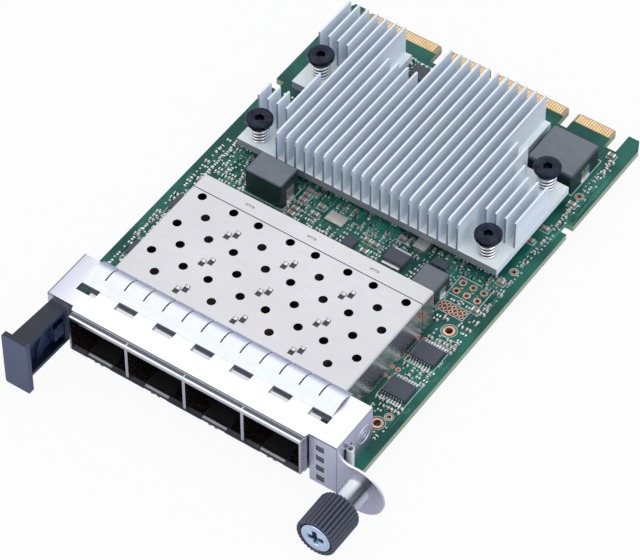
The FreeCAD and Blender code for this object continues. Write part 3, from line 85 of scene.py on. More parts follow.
# Heights and edges that the pieces below are placed by, read from the CAD nodes
BOARD_LOW, BOARD_HIGH = box_of("circuit_board")
BOARD_TOP = box_of("cage_rear_cover")[0].z
CAGE_LOW, CAGE_HIGH = box_of("cage_rear_cover")
SHELL_LOW, SHELL_HIGH = box_of("cage_shell")
SINK_LOW, SINK_HIGH = box_of("heatsink")
BRACKET_LOW, BRACKET_HIGH = box_of("bracket")
BRACKET_FACE = box_of("thumbscrew_collar")[1].y - 0.5
PORT_FRONT = box_of("port_frame")[0].y
SCREW_LOW, SCREW_HIGH = box_of("thumbscrew_screw")
SCREW_AXIS = ((SCREW_LOW.x + SCREW_HIGH.x) / 2, (SCREW_LOW.z + SCREW_HIGH.z) / 2)
COLLAR_END = box_of("thumbscrew_collar")[0].y
KNOB_FRONT, KNOB_REAR = (corner.y for corner in box_of("thumbscrew_knob"))
WASHER_FRONT = box_of("thumbscrew_washer")[0].y
COLLAR_RADIUS = 2.75
COLLAR_BORE = 1.35
SHANK_RADIUS = 1.1
HEAD_RADIUS = 3.4
HEAD_FRONT = KNOB_FRONT + 0.12
HEAD_REAR = SCREW_LOW.y + 1.8
THREAD_RADIUS = 1.5
THREAD_FRONT = BRACKET_FACE + 0.6
THREAD_TIP = THREAD_FRONT + 2.7
CROSS_REACH = 2.0
CROSS_HALF = 0.6
CROSS_DEPTH = 1.0
CROSS_TURN = math.radians(8)
KNOB_RADIUS = 4.6
KNOB_RIBS = 30
RIB_DEPTH = 0.32
RETURN_WIRE = 0.3


# Meshes


def add_object(name, data):
    made = bpy.data.objects.new(name, data)
    bpy.context.scene.collection.objects.link(made)
    return made


def piece(finish, body="card", smooth=False, replaces=None):
    """Turn a function that draws in millimetres into an object of its name on a CAD body.

    Its one material slot holds the finish's material."""
    def make(draw):
        shape = bmesh.new()
        draw(shape)
        bmesh.ops.recalc_face_normals(shape, faces=shape.faces)
        bmesh.ops.scale(shape, vec=(MM, MM, MM), verts=shape.verts)
        mesh = bpy.data.meshes.new(draw.__name__)
        shape.to_mesh(mesh)
        shape.free()
        mesh.materials.append(FINISHES[finish])
        if smooth:
            mesh.polygons.foreach_set("use_smooth", [True] * len(mesh.polygons))
        made = add_object(draw.__name__, mesh)
        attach(made, body)
        if replaces:
            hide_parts(replaces)
        return made
    return make


def add_box(shape, low, high):
    low, high = Vector(low), Vector(high)
    place = Matrix.Translation((low + high) / 2) @ Matrix.Diagonal((*(high - low), 1.0))
    bmesh.ops.create_cube(shape, size=1.0, matrix=place)


def add_slabs(shape, plans, low, high):
    """Boxes on (left, front, right, rear) plans, all between two heights."""
    for left, front, right, rear in plans:
        add_box(shape, (left, front, low), (right, rear, high))


def add_prism(shape, outline, low, high):
    """A closed upright solid on an outline of (x, y) points."""
    add_rings(shape, [[(x, y, z) for x, y in outline] for z in (low, high)], closed=False)


def add_rings(shape, loops, closed=True):
    """Skin a series of equal loops of points, and join the last to the first if closed."""
    rows = [[shape.verts.new(point) for point in loop] for loop in loops]
    pairs = list(zip(rows, rows[1:]))
    if closed:
        pairs.append((rows[-1], rows[0]))
    else:
        shape.faces.new(rows[0][::-1])
        shape.faces.new(rows[-1])
    for one, two in pairs:
        for i in range(len(one)):
            j = (i + 1) % len(one)
            shape.faces.new((one[i], one[j], two[j], two[i]))


def add_bar(shape, left, right, thick, path):
    """A flat strip bent along a path of (y, z) points of its underside."""
    add_rings(shape, [[(left, y, z), (right, y, z), (right, y, z + thick), (left, y, z + thick)]
                      for y, z in path], closed=False)


def loop_points(centre, radius, sides, across=RIGHT, up=BACK, shift=0.0):
    """Points round a centre. The radius is a number or a function of the turn."""
    points = []
    for i in range(sides):
        turn = 2 * math.pi * (i + shift) / sides
        reach = radius(turn) if callable(radius) else radius
        points.append(Vector(centre) + reach * (across * math.cos(turn) + up * math.sin(turn)))
    return points


def screw_loops(profile, sides, shift=0.0):
    """Loops round the thumbscrew's axis, from (radius, y) pairs."""
    x, z = SCREW_AXIS
    return [loop_points((x, y, z), radius, sides, up=UP, shift=shift) for radius, y in profile]


def add_ring(shape, x, y, inner, outer, low, high, sides=24):
    """A flat washer on the board."""
    add_rings(shape, [loop_points((x, y, z), radius, sides) for radius, z in
                      ((inner, low), (outer, low), (outer, high), (inner, high))])


def add_disc(shape, x, y, radius, low, high, sides=16):
    add_rings(shape, [loop_points((x, y, z), radius, sides) for z in (low, high)], closed=False)


def add_frame(shape, left, front, right, rear, line, low, high):
    """A thin printed rectangle."""
    add_slabs(shape, ((left, front, right, front + line), (left, rear - line, right, rear),
                      (left, front + line, left + line, rear - line),
                      (right - line, front + line, right, rear - line)), low, high)


def add_track(shape, points, width, low, high):
    """A thin strip of even width along straight runs, square at its ends."""
    points = [Vector(point) for point in points]
    runs = [(after - before).normalized() for before, after in zip(points, points[1:])]
    edges = []
    for point, one, two in zip(points, runs[:1] + runs, runs + runs[-1:]):
        side = Vector((-(one + two).y, (one + two).x)).normalized()
        reach = side * (width / 2 / max(0.4, side.dot(Vector((-one.y, one.x)))))
        edges.append((point - reach, point + reach))
    for (right, left), (far_right, far_left) in zip(edges, edges[1:]):
        add_prism(shape, (right, far_right, far_left, left), low, high)


def add_coil(shape, place, radius, wire, length, turns, sides=8, steps=28):
    """A round-wire spring along a matrix's own Z, with its two ends closed flat."""
    loops = []
    total = int(turns * steps)
    for i in range(total + 1):
        turn = 2 * math.pi * i / steps
        share = min(1.0, max(0.0, (i / total - 0.12) / 0.76))
        height = wire / 2 + (length - wire) * share
        out = Vector((math.cos(turn), math.sin(turn), 0))
        loop = loop_points(UP * height + out * radius, wire / 2, sides, out, UP)
        loops.append([place @ point for point in loop])
    add_rings(shape, loops, closed=False)


def islands(node):
    """Lowest and highest corner of each separate solid in a CAD node, in millimetres."""
    shape = bmesh.new()
    shape.from_mesh(nodes[node].data)
    bmesh.ops.remove_doubles(shape, verts=shape.verts, dist=1e-6)
    seen, found = set(), []
    for start in shape.verts:
        if start in seen:
            continue
        group, queue = [], [start]
        seen.add(start)
        while queue:
            vert = queue.pop()
            group.append(vert.co / MM)
            beyond = {edge.other_vert(vert) for edge in vert.link_edges} - seen
            seen |= beyond
            queue.extend(beyond)
        found.append((Vector(map(min, zip(*group))), Vector(map(max, zip(*group)))))
    shape.free()
    return sorted(found, key=lambda pair: tuple(round(v, 3) for v in (*pair[0], *pair[1])))


# Materials


def shade(colour, factor):
    """A colour made darker or lighter, and never over white."""
    return tuple(min(1.0, c * factor) for c in colour)


def add_node(tree, kind, inputs=(), **settings):
    """A shader node, with each input given as a value or as another node's socket."""
    made = tree.nodes.new("ShaderNode" + kind)
    for key, value in settings.items():
        setattr(made, key, value)
    for key, value in dict(inputs).items():
        if isinstance(value, bpy.types.NodeSocket):
            tree.links.new(value, made.inputs[key])
        else:
            made.inputs[key].default_value = value
    return made


class Finish:
    """A Principled material with short ways to add procedural detail to it."""

    def __init__(self, name, colour, roughness, metallic=0.0, **sockets):
        self.material = bpy.data.materials.new(name)
        self.material.use_nodes = True
        self.tree = self.material.node_tree
        self.shader = self.tree.nodes["Principled BSDF"]
        plain = {"Base_Color": (*colour, 1.0), "Roughness": roughness, "Metallic": metallic}
        for socket, value in {**plain, **sockets}.items():
            self.shader.inputs[socket.replace("_", " ")].default_value = value
        self.place = self.node("TexCoord").outputs["Object"]
        self.tone = colour

    def node(self, kind, inputs=(), **settings):
        return add_node(self.tree, kind, inputs, **settings)

    def noise(self, scale, detail=3.0, stretch=(1, 1, 1)):
        place = self.node("Mapping", {"Vector": self.place, "Scale": stretch}).outputs[0]
        return self.node("TexNoise", {"Vector": place, "Scale": scale,
                                      "Detail": detail}).outputs["Fac"]

    def cells(self, scale):
        return self.node("TexVoronoi", {"Vector": self.place,
                                        "Scale": scale}).outputs["Distance"]

    def fade(self, source, low=None, high=None, start=0.0, end=1.0):
        """A source stretched between two of its values, or as it is without them."""
        if low is None:
            return source
        return self.node("MapRange", {"Value": source, "From Min": low, "From Max": high,
                                      "To Min": start, "To Max": end}).outputs[0]

    def maths(self, operation, one, two=0.0):
        return self.node("Math", {0: one, 1: two}, operation=operation).outputs[0]

    def size(self, source):
        return self.maths("ABSOLUTE", source)

    def times(self, one, *factors):
        for factor in factors:
            one = self.maths("MULTIPLY", one, factor)
        return one

    def facing(self, axis, *fade):
        """The share of the surface's own normal along an axis, 0, 1 or 2."""
        normal = self.node("NewGeometry").outputs["Normal"]
        return self.fade(self.node("SeparateXYZ", {0: normal}).outputs[axis], *fade)

    def along(self, axis, *fade):
        """The place along an axis, in millimetres."""
        place = self.node("SeparateXYZ", {0: self.place}).outputs[axis]
        return self.fade(self.maths("MULTIPLY", place, 1 / MM), *fade)

    def mixed(self, factor, one, two):
        ends = [end if isinstance(end, bpy.types.NodeSocket) else (*end, 1.0)
                for end in (one, two)]
        return self.node("Mix", {"Factor": factor, 6: ends[0], 7: ends[1]},
                         data_type="RGBA").outputs[2]

    def lay(self, colour, area, *fade):
        """Lay a colour over the tone so far, over an area or over a source that fades."""
        self.tone = self.mixed(self.fade(area, *fade), self.tone, colour)

    def done(self, height, strength, depth=0.02, rough=None, limits=(0.3, 0.7)):
        """Wire the tone and the bump, and a roughness given as a source and two ends."""
        if isinstance(self.tone, bpy.types.NodeSocket):
            self.tree.links.new(self.tone, self.shader.inputs["Base Color"])
        if rough:
            faded = self.fade(rough[0], *limits, *rough[1:])
            self.tree.links.new(faded, self.shader.inputs["Roughness"])
        bump = self.node("Bump", {"Height": height, "Strength": strength,
                                  "Distance": depth * MM})
        self.tree.links.new(bump.outputs[0], self.shader.inputs["Normal"])
        return self.material


CONTACT_START = 8.55
TONGUES_END = 33.3
BARE_TAN = (0.50, 0.35, 0.21)
LAMINATE = ((0.30, 0.36, 0.24), (0.44, 0.50, 0.36))


def solder_mask(name, light, dark):
    """Glossy green lacquer, with the laminate bare on cut edges and between contacts."""
    made = Finish(name, light, 0.36, Specular_IOR_Level=0.22)
    weave = made.noise(2600, 2.0, (1, 0.25, 1))
    behind = made.along(1, CONTACT_START, CONTACT_START + 0.08)
    between = made.fade(made.size(made.along(0)), TONGUES_END, TONGUES_END + 0.1, 1.0, 0.0)
    made.tone = made.mixed(made.fade(made.noise(90, 2.0), 0.42, 0.58), dark, light)
    made.lay(light, weave, 0.35, 0.75, 0.0, 0.25)
    made.lay(BARE_TAN, made.times(behind, between))
    laminate = made.mixed(made.noise(3000, 2.0, (0.2, 0.2, 3)), *LAMINATE)
    flat = made.fade(made.size(made.facing(2)), 0.4, 0.6)
    made.tone = made.mixed(flat, laminate, made.tone)
    return made.done(weave, 0.12, 0.03, (flat, 0.65, 0.33), (0, 1))


def sheet_metal(name, colour, roughness, grain=(0.2, 1, 1), inside=None):
    """Rolled sheet with a faint grain. inside gives a box in millimetres and the colour of
    painted shade laid on the faces within it.
    """
    made = Finish(name, colour, roughness, 1.0)
    grains = made.noise(1400, 4.0, grain)
    made.tone = shade(colour, 0.93)
    made.lay(colour, made.noise(55, 2.0), 0.3, 0.7)
    made.lay(shade(colour, 0.86), grains, 0.35, 0.75, 0.0, 0.35)
    if inside:
        half, height, front, inside_shade = inside
        within = made.maths("LESS_THAN", made.size(made.along(0)), half)
        below = made.maths("LESS_THAN", made.along(2), height)
        behind = made.maths("GREATER_THAN", made.along(1), front)
        flank = made.maths("GREATER_THAN", made.size(made.facing(0)), 0.7)
        # Painted shade on the cage's inner faces: within the box, behind its front or facing
        # sideways.
        made.lay(inside_shade, made.times(within, below, made.maths("MAXIMUM", behind, flank)))
    return made.done(grains, 0.06, 0.02, (grains, roughness * 0.85, roughness * 1.2))


def folded_sheet(name, colour, shadow, fold_reflection):
    """Satin bracket sheet, with painted shade on its tops towards its left end and on its side
    and front faces, and a painted dark reflection along its folds.
    """
    made = Finish(name, colour, 0.34, 1.0)
    grains = made.noise(1400, 4.0, (1, 0.25, 0.25))
    left, top = BRACKET_LOW.x, BRACKET_HIGH.z
    on_top = made.facing(2, 0.5, 0.7)
    on_front = made.facing(1, -0.7, -0.5, 1.0, 0.0)
    on_side = made.facing(0, 0.5, 0.7)
    made.lay(shade(colour, 0.88), grains, 0.35, 0.75, 0.0, 0.35)
    # Painted shade: tops towards the left end, then side faces and front faces.
    made.lay(shadow, made.times(on_top, made.along(0, left, left + 7.5, 0.9, 0.0)))
    made.lay(shadow, made.times(on_side, 0.75))
    made.lay(shadow, made.times(on_front, 0.3))
    # Painted dark reflection along the outer bends of the folds.
    left_fold = made.along(0, left + 0.3, left + 0.5, 0.8, 0.0)
    top_fold = made.along(2, top - 0.5, top - 0.3, 0.0, 0.9)
    corner = made.size(made.maths("SUBTRACT", made.along(0), -left - 0.1))
    corner = made.fade(corner, 0.06, 0.14, 0.6, 0.0)
    folds = made.maths("MAXIMUM", made.times(on_top, left_fold),
                       made.times(on_front, made.maths("MAXIMUM", top_fold, corner)))
    made.lay(fold_reflection, made.maths("MAXIMUM", folds, made.times(on_side, top_fold, 0.45)))
    return made.done(grains, 0.06, 0.02, (grains, 0.29, 0.40))


def moulded(name, colour, roughness, grain=900.0, strength=0.25, edge_lift=0.06, facing_shade=None):
    """Moulded plastic with a fine spark-eroded skin and sharp edges made a little lighter.

    The last argument gives an axis, a sign and the colour of painted shade on the faces that look
    that way."""
    made = Finish(name, colour, roughness, Specular_IOR_Level=0.45)
    skin = made.noise(grain * 4, 2.0)
    lighter = tuple(min(1.0, c * 1.5 + 0.012) for c in colour)
    sharp_edges = made.node("NewGeometry").outputs["Pointiness"]
    made.lay(lighter, made.noise(120, 3.0), 0.35, 0.7, 0.0, 0.6)
    # Sharp edges made lighter.
    made.lay(tuple(min(1.0, c + edge_lift) for c in lighter), sharp_edges, 0.52, 0.62, 0.0, 0.5)
    if facing_shade:
        axis, sign, second = facing_shade
        # Painted shade on the faces that look along the axis.
        made.lay(second, made.times(made.facing(axis), sign), 0.8, 0.95, 0.0, 0.9)
    return made.done(skin, strength, 0.03, (skin, roughness * 0.85, roughness * 1.15))


# Brightness of the painted reflection bands across a polished bar, from its lower left to its
# upper right
REFLECTION_BANDS = ((0.0, 0.0), (0.03, 0.35), (0.12, 0.8), (0.17, 1.0), (0.38, 0.9), (0.44, 0.5),
         (0.50, 0.06), (0.68, 0.0), (0.76, 0.45), (0.84, 0.72), (1.0, 0.7))


def banded(name, colour, dark, roughness):
    """Polished round bar along Y, with painted reflections: the bands that a studio leaves across
    it, laid by the way each face turns.
    """
    made = Finish(name, colour, roughness, 0.5)
    across = made.maths("SUBTRACT", made.times(made.facing(0), 0.9),
                        made.times(made.facing(2), 0.44))
    ramp = made.node("ValToRGB", {"Fac": made.fade(across, -1.0, 1.0)})
    stops = ramp.color_ramp.elements
    stops[0].position, stops[1].position = REFLECTION_BANDS[0][0], REFLECTION_BANDS[-1][0]
    for place, share in REFLECTION_BANDS[1:-1]:
        stops.new(place)
    for stop, (place, share) in zip(stops, REFLECTION_BANDS):
        stop.color = (*(d + (c - d) * share for c, d in zip(colour, dark)), 1.0)
    streaks = made.noise(900, 2.0, (1, 0.1, 1))
    made.tone = ramp.outputs[0]
    made.lay(dark, streaks, 0.4, 0.7, 0.0, 0.12)
    return made.done(streaks, 0.05)


def latch_sheet(name, bright, dark):
    """A latch tongue: its nose and its root lie in shadow, and a band between is lit."""
    made = Finish(name, bright, 0.35, 0.2)
    grains = made.noise(1400, 3.0)
    behind_nose = made.maths("GREATER_THAN", made.along(1), PORT_FRONT + 0.3)
    before_root = made.maths("LESS_THAN", made.along(1), PORT_FRONT + 0.95)
    made.tone = dark
    made.lay(bright, made.times(behind_nose, before_root,
                                made.fade(grains, 0.2, 0.7, 1.0, 0.85)))
    return made.done(grains, 0.06)


def sprung_sheet(name, colour, slope_shade):
    """Bright spring sheet, with painted shade, darker and bluer, where it turns away towards the
    rear.
    """
    made = Finish(name, colour, 0.3, 0.5)
    grains = made.noise(1400, 3.0, (1, 0.2, 1))
    made.lay(shade(colour, 0.9), grains, 0.35, 0.75, 0.0, 0.3)
    # Painted shade on faces that turn towards the rear.
    made.lay(slope_shade, made.facing(1, 0.18, 0.55))
    return made.done(grains, 0.06, 0.02, (grains, 0.24, 0.36))


def plated(name, colour, roughness, second=None, scale=500.0):
    """Plated or polished metal with slight staining."""
    made = Finish(name, colour, roughness, 1.0)
    stains = made.noise(scale, 3.0)
    made.lay(second or shade(colour, 0.8), stains, 0.4, 0.7)
    return made.done(made.noise(scale * 5, 2.0), 0.08, 0.02,
                     (stains, roughness * 0.8, roughness * 1.3))


RECESS_REACH = 2.3


def recessed_zinc(name, colour, second, recess_shade, face):
    """Blue zinc plate, with painted shade within the recess that starts at a face across Y."""
    made = Finish(name, colour, 0.3, 0.9)
    stains = made.noise(500, 3.0)
    below = made.along(1, face + 0.04, face + 0.3, 0.0, 0.9)
    near = made.maths("LESS_THAN", made.along(1), face + 1.2)
    across, up = (made.maths("POWER", made.maths("SUBTRACT", made.along(axis), place), 2.0)
                  for axis, place in zip((0, 2), SCREW_AXIS))
    central = made.maths("LESS_THAN", made.maths("ADD", across, up), RECESS_REACH ** 2)
    made.lay(second, stains, 0.4, 0.7)
    # Painted shade in the cross recess.
    made.lay(recess_shade, made.times(below, near, central))
    return made.done(stains, 0.05)


def extruded(name, colour, roughness):
    """Satin extruded aluminium, drawn along Y, with sawn ends, a painted highlight on its tops,
    and painted shade high on its sides and on its front ends.
    """
    made = Finish(name, colour, roughness)
    drawn = made.noise(2600, 3.0, (1, 0.02, 1))
    upper = made.times(made.along(2, SINK_HIGH.z - 3.5, SINK_HIGH.z),
                       made.facing(2, 0.3, 0.6, 1.0, 0.0))
    made.lay(shade(colour, 0.86), drawn, 0.3, 0.7, 0.0, 0.6)
    made.lay(shade(colour, 1.06), made.noise(40, 2.0), 0.3, 0.7, 0.0, 0.5)
    # Painted highlight on the tops.
    made.lay(shade(colour, 1.10), made.facing(2, 0.7, 0.95))
    # Painted shade on the upper part of the sides.
    made.lay(shade(colour, 0.82), upper)
    # Painted shade on the front ends.
    made.lay(shade(colour, 0.30), made.facing(1, -0.95, -0.75, 1.0, 0.0))
    return made.done(drawn, 0.12, 0.02, (drawn, roughness * 0.9, roughness * 1.15))


def pressed_powder(name, top, side):
    """Iron-powder body of an inductor: speckled and lighter on its top, smooth and dark round it.
    """
    made = Finish(name, top, 0.5, 0.1)
    clouds = made.noise(700, 3.0)
    flat = made.facing(2, 0.6, 0.9)
    sides = made.mixed(made.fade(clouds, 0.3, 0.7, 0.0, 0.4), side, shade(side, 1.5))
    made.lay(shade(top, 1.6), made.cells(2400), 0.1, 0.45, 0.3, 0.0)
    made.lay(shade(top, 0.6), clouds, 0.4, 0.7, 0.0, 0.25)
    # Upward faces take the lighter speckled tone, other faces the darker one.
    made.tone = made.mixed(flat, sides, made.tone)
    return made.done(clouds, 0.12, 0.03, (flat, 0.34, 0.55), (0, 1))


def ceramic(name, colour, second):
    made = Finish(name, colour, 0.35, Coat_Weight=0.3)
    grains = made.noise(1500, 3.0)
    made.lay(second, grains, 0.35, 0.7)
    return made.done(grains, 0.15)


def clear_lens(name):
    made = Finish(name, (0.86, 0.89, 0.92), 0.12, Transmission_Weight=0.75, IOR=1.49)
    haze = made.noise(800, 2.0)
    return made.done(haze, 0.1, 0.02, (haze, 0.08, 0.22))


def ink(name, colour):
    """Screen-printed ink, a little broken at its edges."""
    made = Finish(name, colour, 0.55)
    worn = made.noise(3500, 2.0)
    made.lay((0.42, 0.62, 0.54), worn, 0.55, 0.8)
    return made.done(worn, 0.2, 0.01)


# The cage's inside, as half width, top and front in millimetres, and its colour of painted shade.
CAGE_INSIDE_SHADE = (SHELL_HIGH.x - 0.25, CAGE_HIGH.z - 0.25, SHELL_LOW.y - 0.05,
               (0.32, 0.27, 0.245))
MASK_LIGHT = (0.016, 0.150, 0.110)
MASK_DARK = (0.004, 0.075, 0.060)
FINISHES = {
    "board": solder_mask("green_mask", MASK_LIGHT, MASK_DARK),
    "copper_mask": solder_mask("mask_over_copper", (0.055, 0.27, 0.215), (0.03, 0.20, 0.16)),
    "ink": ink("white_ink", (0.72, 0.80, 0.77)),
    "gold": plated("contact_gold", (0.84, 0.63, 0.35), 0.30, (0.72, 0.50, 0.26)),
    "copper": plated("ring_copper", (0.80, 0.47, 0.37), 0.45, (0.62, 0.33, 0.24)),
    "hole": moulded("hole_wall", (0.16, 0.03, 0.02), 0.6),
    "film": moulded("black_film", (0.012, 0.012, 0.014), 0.42, 500.0, 0.1),
    "sink": extruded("satin_aluminium", (0.82, 0.90, 1.0), 0.42),
    "black_screw": plated("black_oxide", (0.030, 0.036, 0.055), 0.18, (0.012, 0.014, 0.022)),
    "spring": plated("spring_steel", (0.52, 0.53, 0.56), 0.25),
    "bright_spring": plated("bright_spring_steel", (0.80, 0.81, 0.84), 0.22),
    "chip": moulded("chip_epoxy", (0.024, 0.033, 0.054), 0.5, 1500.0, 0.2),
    "pad": moulded("thermal_putty", (0.42, 0.45, 0.50), 0.8, 300.0, 0.3),
    "cage": sheet_metal("cage_sheet", (0.61, 0.61, 0.64), 0.25, inside=CAGE_INSIDE_SHADE),
    # The last two colours are painted shade and the painted fold reflection.
    "bracket": folded_sheet("bracket_sheet", (0.83, 0.84, 0.90), (0.52, 0.52, 0.64),
                            (0.10, 0.10, 0.15)),
    # The last colour is painted shade on the rear slope.
    "fingers": sprung_sheet("finger_sheet", (0.86, 0.89, 0.94), (0.38, 0.43, 0.59)),
    "latch": latch_sheet("latch_sheet", (0.78, 0.78, 0.84), (0.022, 0.020, 0.020)),
    # Painted shade, for hooks, slots, tabs, gap and floor lip that lie in shadow.
    "shade": moulded("shaded_steel", (0.050, 0.055, 0.070), 0.4, 600.0, 0.1),
    # Near black painted shade for openings in the cage.
    "opening": moulded("opening_shade", (0.010, 0.010, 0.012), 0.6, 600.0, 0.1),
    "socket": moulded("socket_plastic", (0.010, 0.010, 0.012), 0.5),
    # The tab's upward faces darker in painted shade.
    "black_plastic": moulded("tab_plastic", (0.016, 0.030, 0.080), 0.30, 700.0, 0.2,
                             facing_shade=(2, 1, (0.003, 0.006, 0.016))),
    # The knob's front face darker in painted shade.
    "knob": moulded("knob_plastic", (0.013, 0.019, 0.044), 0.26, 800.0, 0.15, 0.14,
                    (1, -1, (0.004, 0.006, 0.026))),
    # Painted studio reflections as bands on the collar.
    "nickel": banded("bright_nickel", (0.90, 0.93, 1.0), (0.02, 0.027, 0.05), 0.22),
    # Painted shade in the screw's cross recess.
    "screw_zinc": recessed_zinc("recessed_zinc", (0.52, 0.66, 0.82), (0.66, 0.77, 0.88),
                                (0.035, 0.11, 0.16), HEAD_FRONT),
    "blue_zinc": plated("blue_zinc", (0.52, 0.66, 0.82), 0.30, (0.66, 0.77, 0.88)),
    "ferrite": pressed_powder("pressed_powder", (0.17, 0.19, 0.22), (0.012, 0.030, 0.036)),
    "tin": plated("matt_tin", (0.76, 0.76, 0.77), 0.32),
    "can": plated("satin_can", (0.62, 0.60, 0.56), 0.34),
    "ceramic": ceramic("cap_ceramic", (0.27, 0.20, 0.15), (0.36, 0.28, 0.21)),
    "resistor": ceramic("resistor_glaze", (0.020, 0.020, 0.024), (0.035, 0.035, 0.040)),
    "lens": clear_lens("clear_lens"),
    # Dark painted shade for the light holes.
    "dark_lens": moulded("lens_in_shade", (0.03, 0.035, 0.045), 0.12, 300.0, 0.15),
}

for row in frame["record"]["subparts"]:
    nodes[row["node"]].material_slots[0].material = FINISHES[row["material_slot"]]


# Board: copper under the lacquer, rings, pads, print and the smallest parts

# Width of each inductor's terminals, and how far their solder reaches
INDUCTORS = {"inductor_rear": (3.2, 0.45), "inductor_front": (2.2, 0.35),
             "inductor_left": (2.6, 0.5)}
# Lowest and highest level of the copper and of the print on the board's top
COPPER = (BOARD_TOP, BOARD_TOP + 0.03)
PRINT = (BOARD_TOP, BOARD_TOP + 0.045)
BOARD_RIGHT = BOARD_HIGH.x
BOARD_LEFT = BOARD_LOW.x
HEADER = (BOARD_RIGHT - 10.45, -45.95, 2.54, 3, 2)
PROBES = (BOARD_RIGHT - 10.85, -51.4, 1.27, 5, 2)
SINGLE_HOLES = ((5.75, -55.9, 1.1), (4.4, -84.1, 1.1), (3.4, -9.4, 0.6),
                (3.4, -34.95, 0.6), (3.3, -81.5, 0.6))
CAGE_PINS = [(CAGE_HIGH.x + 0.75, y) for y in (-60.7, -65.6, -70.3, -73.0)]


def field(x, y, pitch, columns, rows):
    return [(x + pitch * i, y + pitch * j) for i in range(columns) for j in range(rows)]


# Plated holes: place, inner and outer radius of the ring, the same of the barrel in the
# hole, half of the room that stays free round it, and sides
HOLES = [(x, y, 0.5, 0.86, 0.40, 0.48, 0.9, 24) for x, y in field(*HEADER)]
HOLES += [(x, y, 0.32, 0.56, 0.24, 0.30, 0.9, 16) for x, y in field(*PROBES)]
HOLES += [(BOARD_RIGHT - inset, y, radius * 0.75, radius * 1.2, radius * 0.7, radius * 0.95,
           radius * 1.5, 24) for inset, y, radius in SINGLE_HOLES]


@piece("copper")
def plated_rings(shape):
    for x, y in CAGE_PINS:
        add_ring(shape, x, y, 0.3, 0.6, *PRINT)
    for x, y, inner, outer, *_, sides in HOLES:
        add_ring(shape, x, y, inner, outer, *PRINT, sides)


@piece("hole")
def hole_barrels(shape):
    """The dark plated walls inside the holes, a hair inside the laminate."""
    for x, y, *_, inner, outer, _, sides in HOLES:
        add_ring(shape, x, y, inner, outer, 0.03, BOARD_TOP - 0.02, sides)


@piece("hole")
def drilled_mouths(shape):
    """The mouths of the small holes beside the cage, as dark discs of painted shade."""
    for x, y in CAGE_PINS:
        add_disc(shape, x, y, 0.3, BOARD_TOP, BOARD_TOP + 0.01)


# Where nothing small may stand: the footprints of the CAD parts and of the holes
KEEP_OUT = [(CAGE_LOW.x, BOARD_LOW.y, CAGE_HIGH.x, CAGE_HIGH.y)]
KEEP_OUT += [(x - 0.6, y - 0.6, x + 0.6, y + 0.6) for x, y in CAGE_PINS]
for name in (*INDUCTORS, "buffer_chips", "chip_leads", "crystal_oscillator", "light_guide",
             "small_controller", "rectifier_diode", "rectifier_ends", "polymer_capacitor",
             "regulator_chip", "ceramic_capacitors", "chip_resistors"):
    KEEP_OUT += [(low.x, low.y, high.x, high.y) for low, high in islands(name)]
KEEP_OUT += [(x - room, y - room, x + room, y + room) for x, y, *_, room, _ in HOLES]


def is_free(x, y, half_width, half_length, margin=0.2):
    """True where a footprint clears every part already placed."""
    return not any(x + half_width + margin > left and x - half_width - margin < right
                   and y + half_length + margin > front and y - half_length - margin < rear
                   for left, front, right, rear in KEEP_OUT)


# Strips of open board: left edge, right edge, between the cage and the heatsink, the
# right and left of the heatsink, and the notch in its rear edge
ZONES = (
    (BOARD_LEFT + 1.2, -88.0, CAGE_LOW.x - 0.6, CAGE_HIGH.y),
    (CAGE_HIGH.x + 0.6, -88.0, BOARD_RIGHT - 1.6, CAGE_HIGH.y),
    (BOARD_LEFT + 1.2, CAGE_HIGH.y + 0.8, BOARD_RIGHT - 1.6, SINK_LOW.y + 2.0),
    (SINK_HIGH.x + 0.4, SINK_LOW.y, BOARD_RIGHT - 1.2, 4.6),
    (BOARD_LEFT + 1.2, -26.0, SINK_LOW.x + 4.5, -19.4),
    (-17.5, -7.2, -6.5, 5.0),
)


def scatter(draw_random, step, chance):
    """Seeded places on a loose grid over the open strips."""
    found = []
    for left, front, right, rear in ZONES:
        columns = max(1, int((right - left) / step[0]))
        rows = max(1, int((rear - front) / step[1]))
        for i in range(columns):
            for j in range(rows):
                if draw_random.random() > chance:
                    continue
                x = left + (i + 0.5) * (right - left) / columns
                y = front + (j + 0.5) * (rear - front) / rows
                found.append((x + draw_random.uniform(-0.15, 0.15), y))
    return found


TINY_LONG = 0.5
TINY_SHORT = 0.27
tiny_random = random.Random(11)
tiny_parts = {"capacitor": [], "resistor": [], "pads": []}
for x, y in scatter(tiny_random, (1.75, 1.25), 0.8):
    half = (TINY_SHORT, TINY_LONG) if tiny_random.random() < 0.4 else (TINY_LONG, TINY_SHORT)
    kind = tiny_random.choice(("capacitor", "capacitor", "resistor", "pads", "pads"))
    if is_free(x, y, half[0] + 0.08, half[1] + 0.08, 0.12):
        tiny_parts[kind].append((x, y, *half))
        KEEP_OUT.append((x - half[0], y - half[1], x + half[0], y + half[1]))


def split(x, y, half_width, half_length, share):
    """One end, the middle and the other end of a small part, as plans."""
    reach = max(half_width, half_length)
    cut = reach * (1 - share)
    strips = ((-reach, -cut), (-cut, cut), (cut, reach))
    if half_width > half_length:
        return [(x + start, y - half_length, x + stop, y + half_length)
                for start, stop in strips]
    return [(x - half_width, y + start, x + half_width, y + stop) for start, stop in strips]


def add_tiny_bodies(shape, kind, height):
    for spot in tiny_parts[kind]:
        add_slabs(shape, split(*spot, 0.5)[1:2], BOARD_TOP + 0.03, BOARD_TOP + height)


@piece("ceramic")
def tiny_capacitors(shape):
    add_tiny_bodies(shape, "capacitor", 0.48)


@piece("resistor")
def tiny_resistors(shape):
    add_tiny_bodies(shape, "resistor", 0.38)


@piece("tin")
def tiny_part_ends(shape):
    for kind, height in (("capacitor", 0.5), ("resistor", 0.36)):
        for spot in tiny_parts[kind]:
            add_slabs(shape, split(*spot, 0.5)[::2], BOARD_TOP, BOARD_TOP + height)


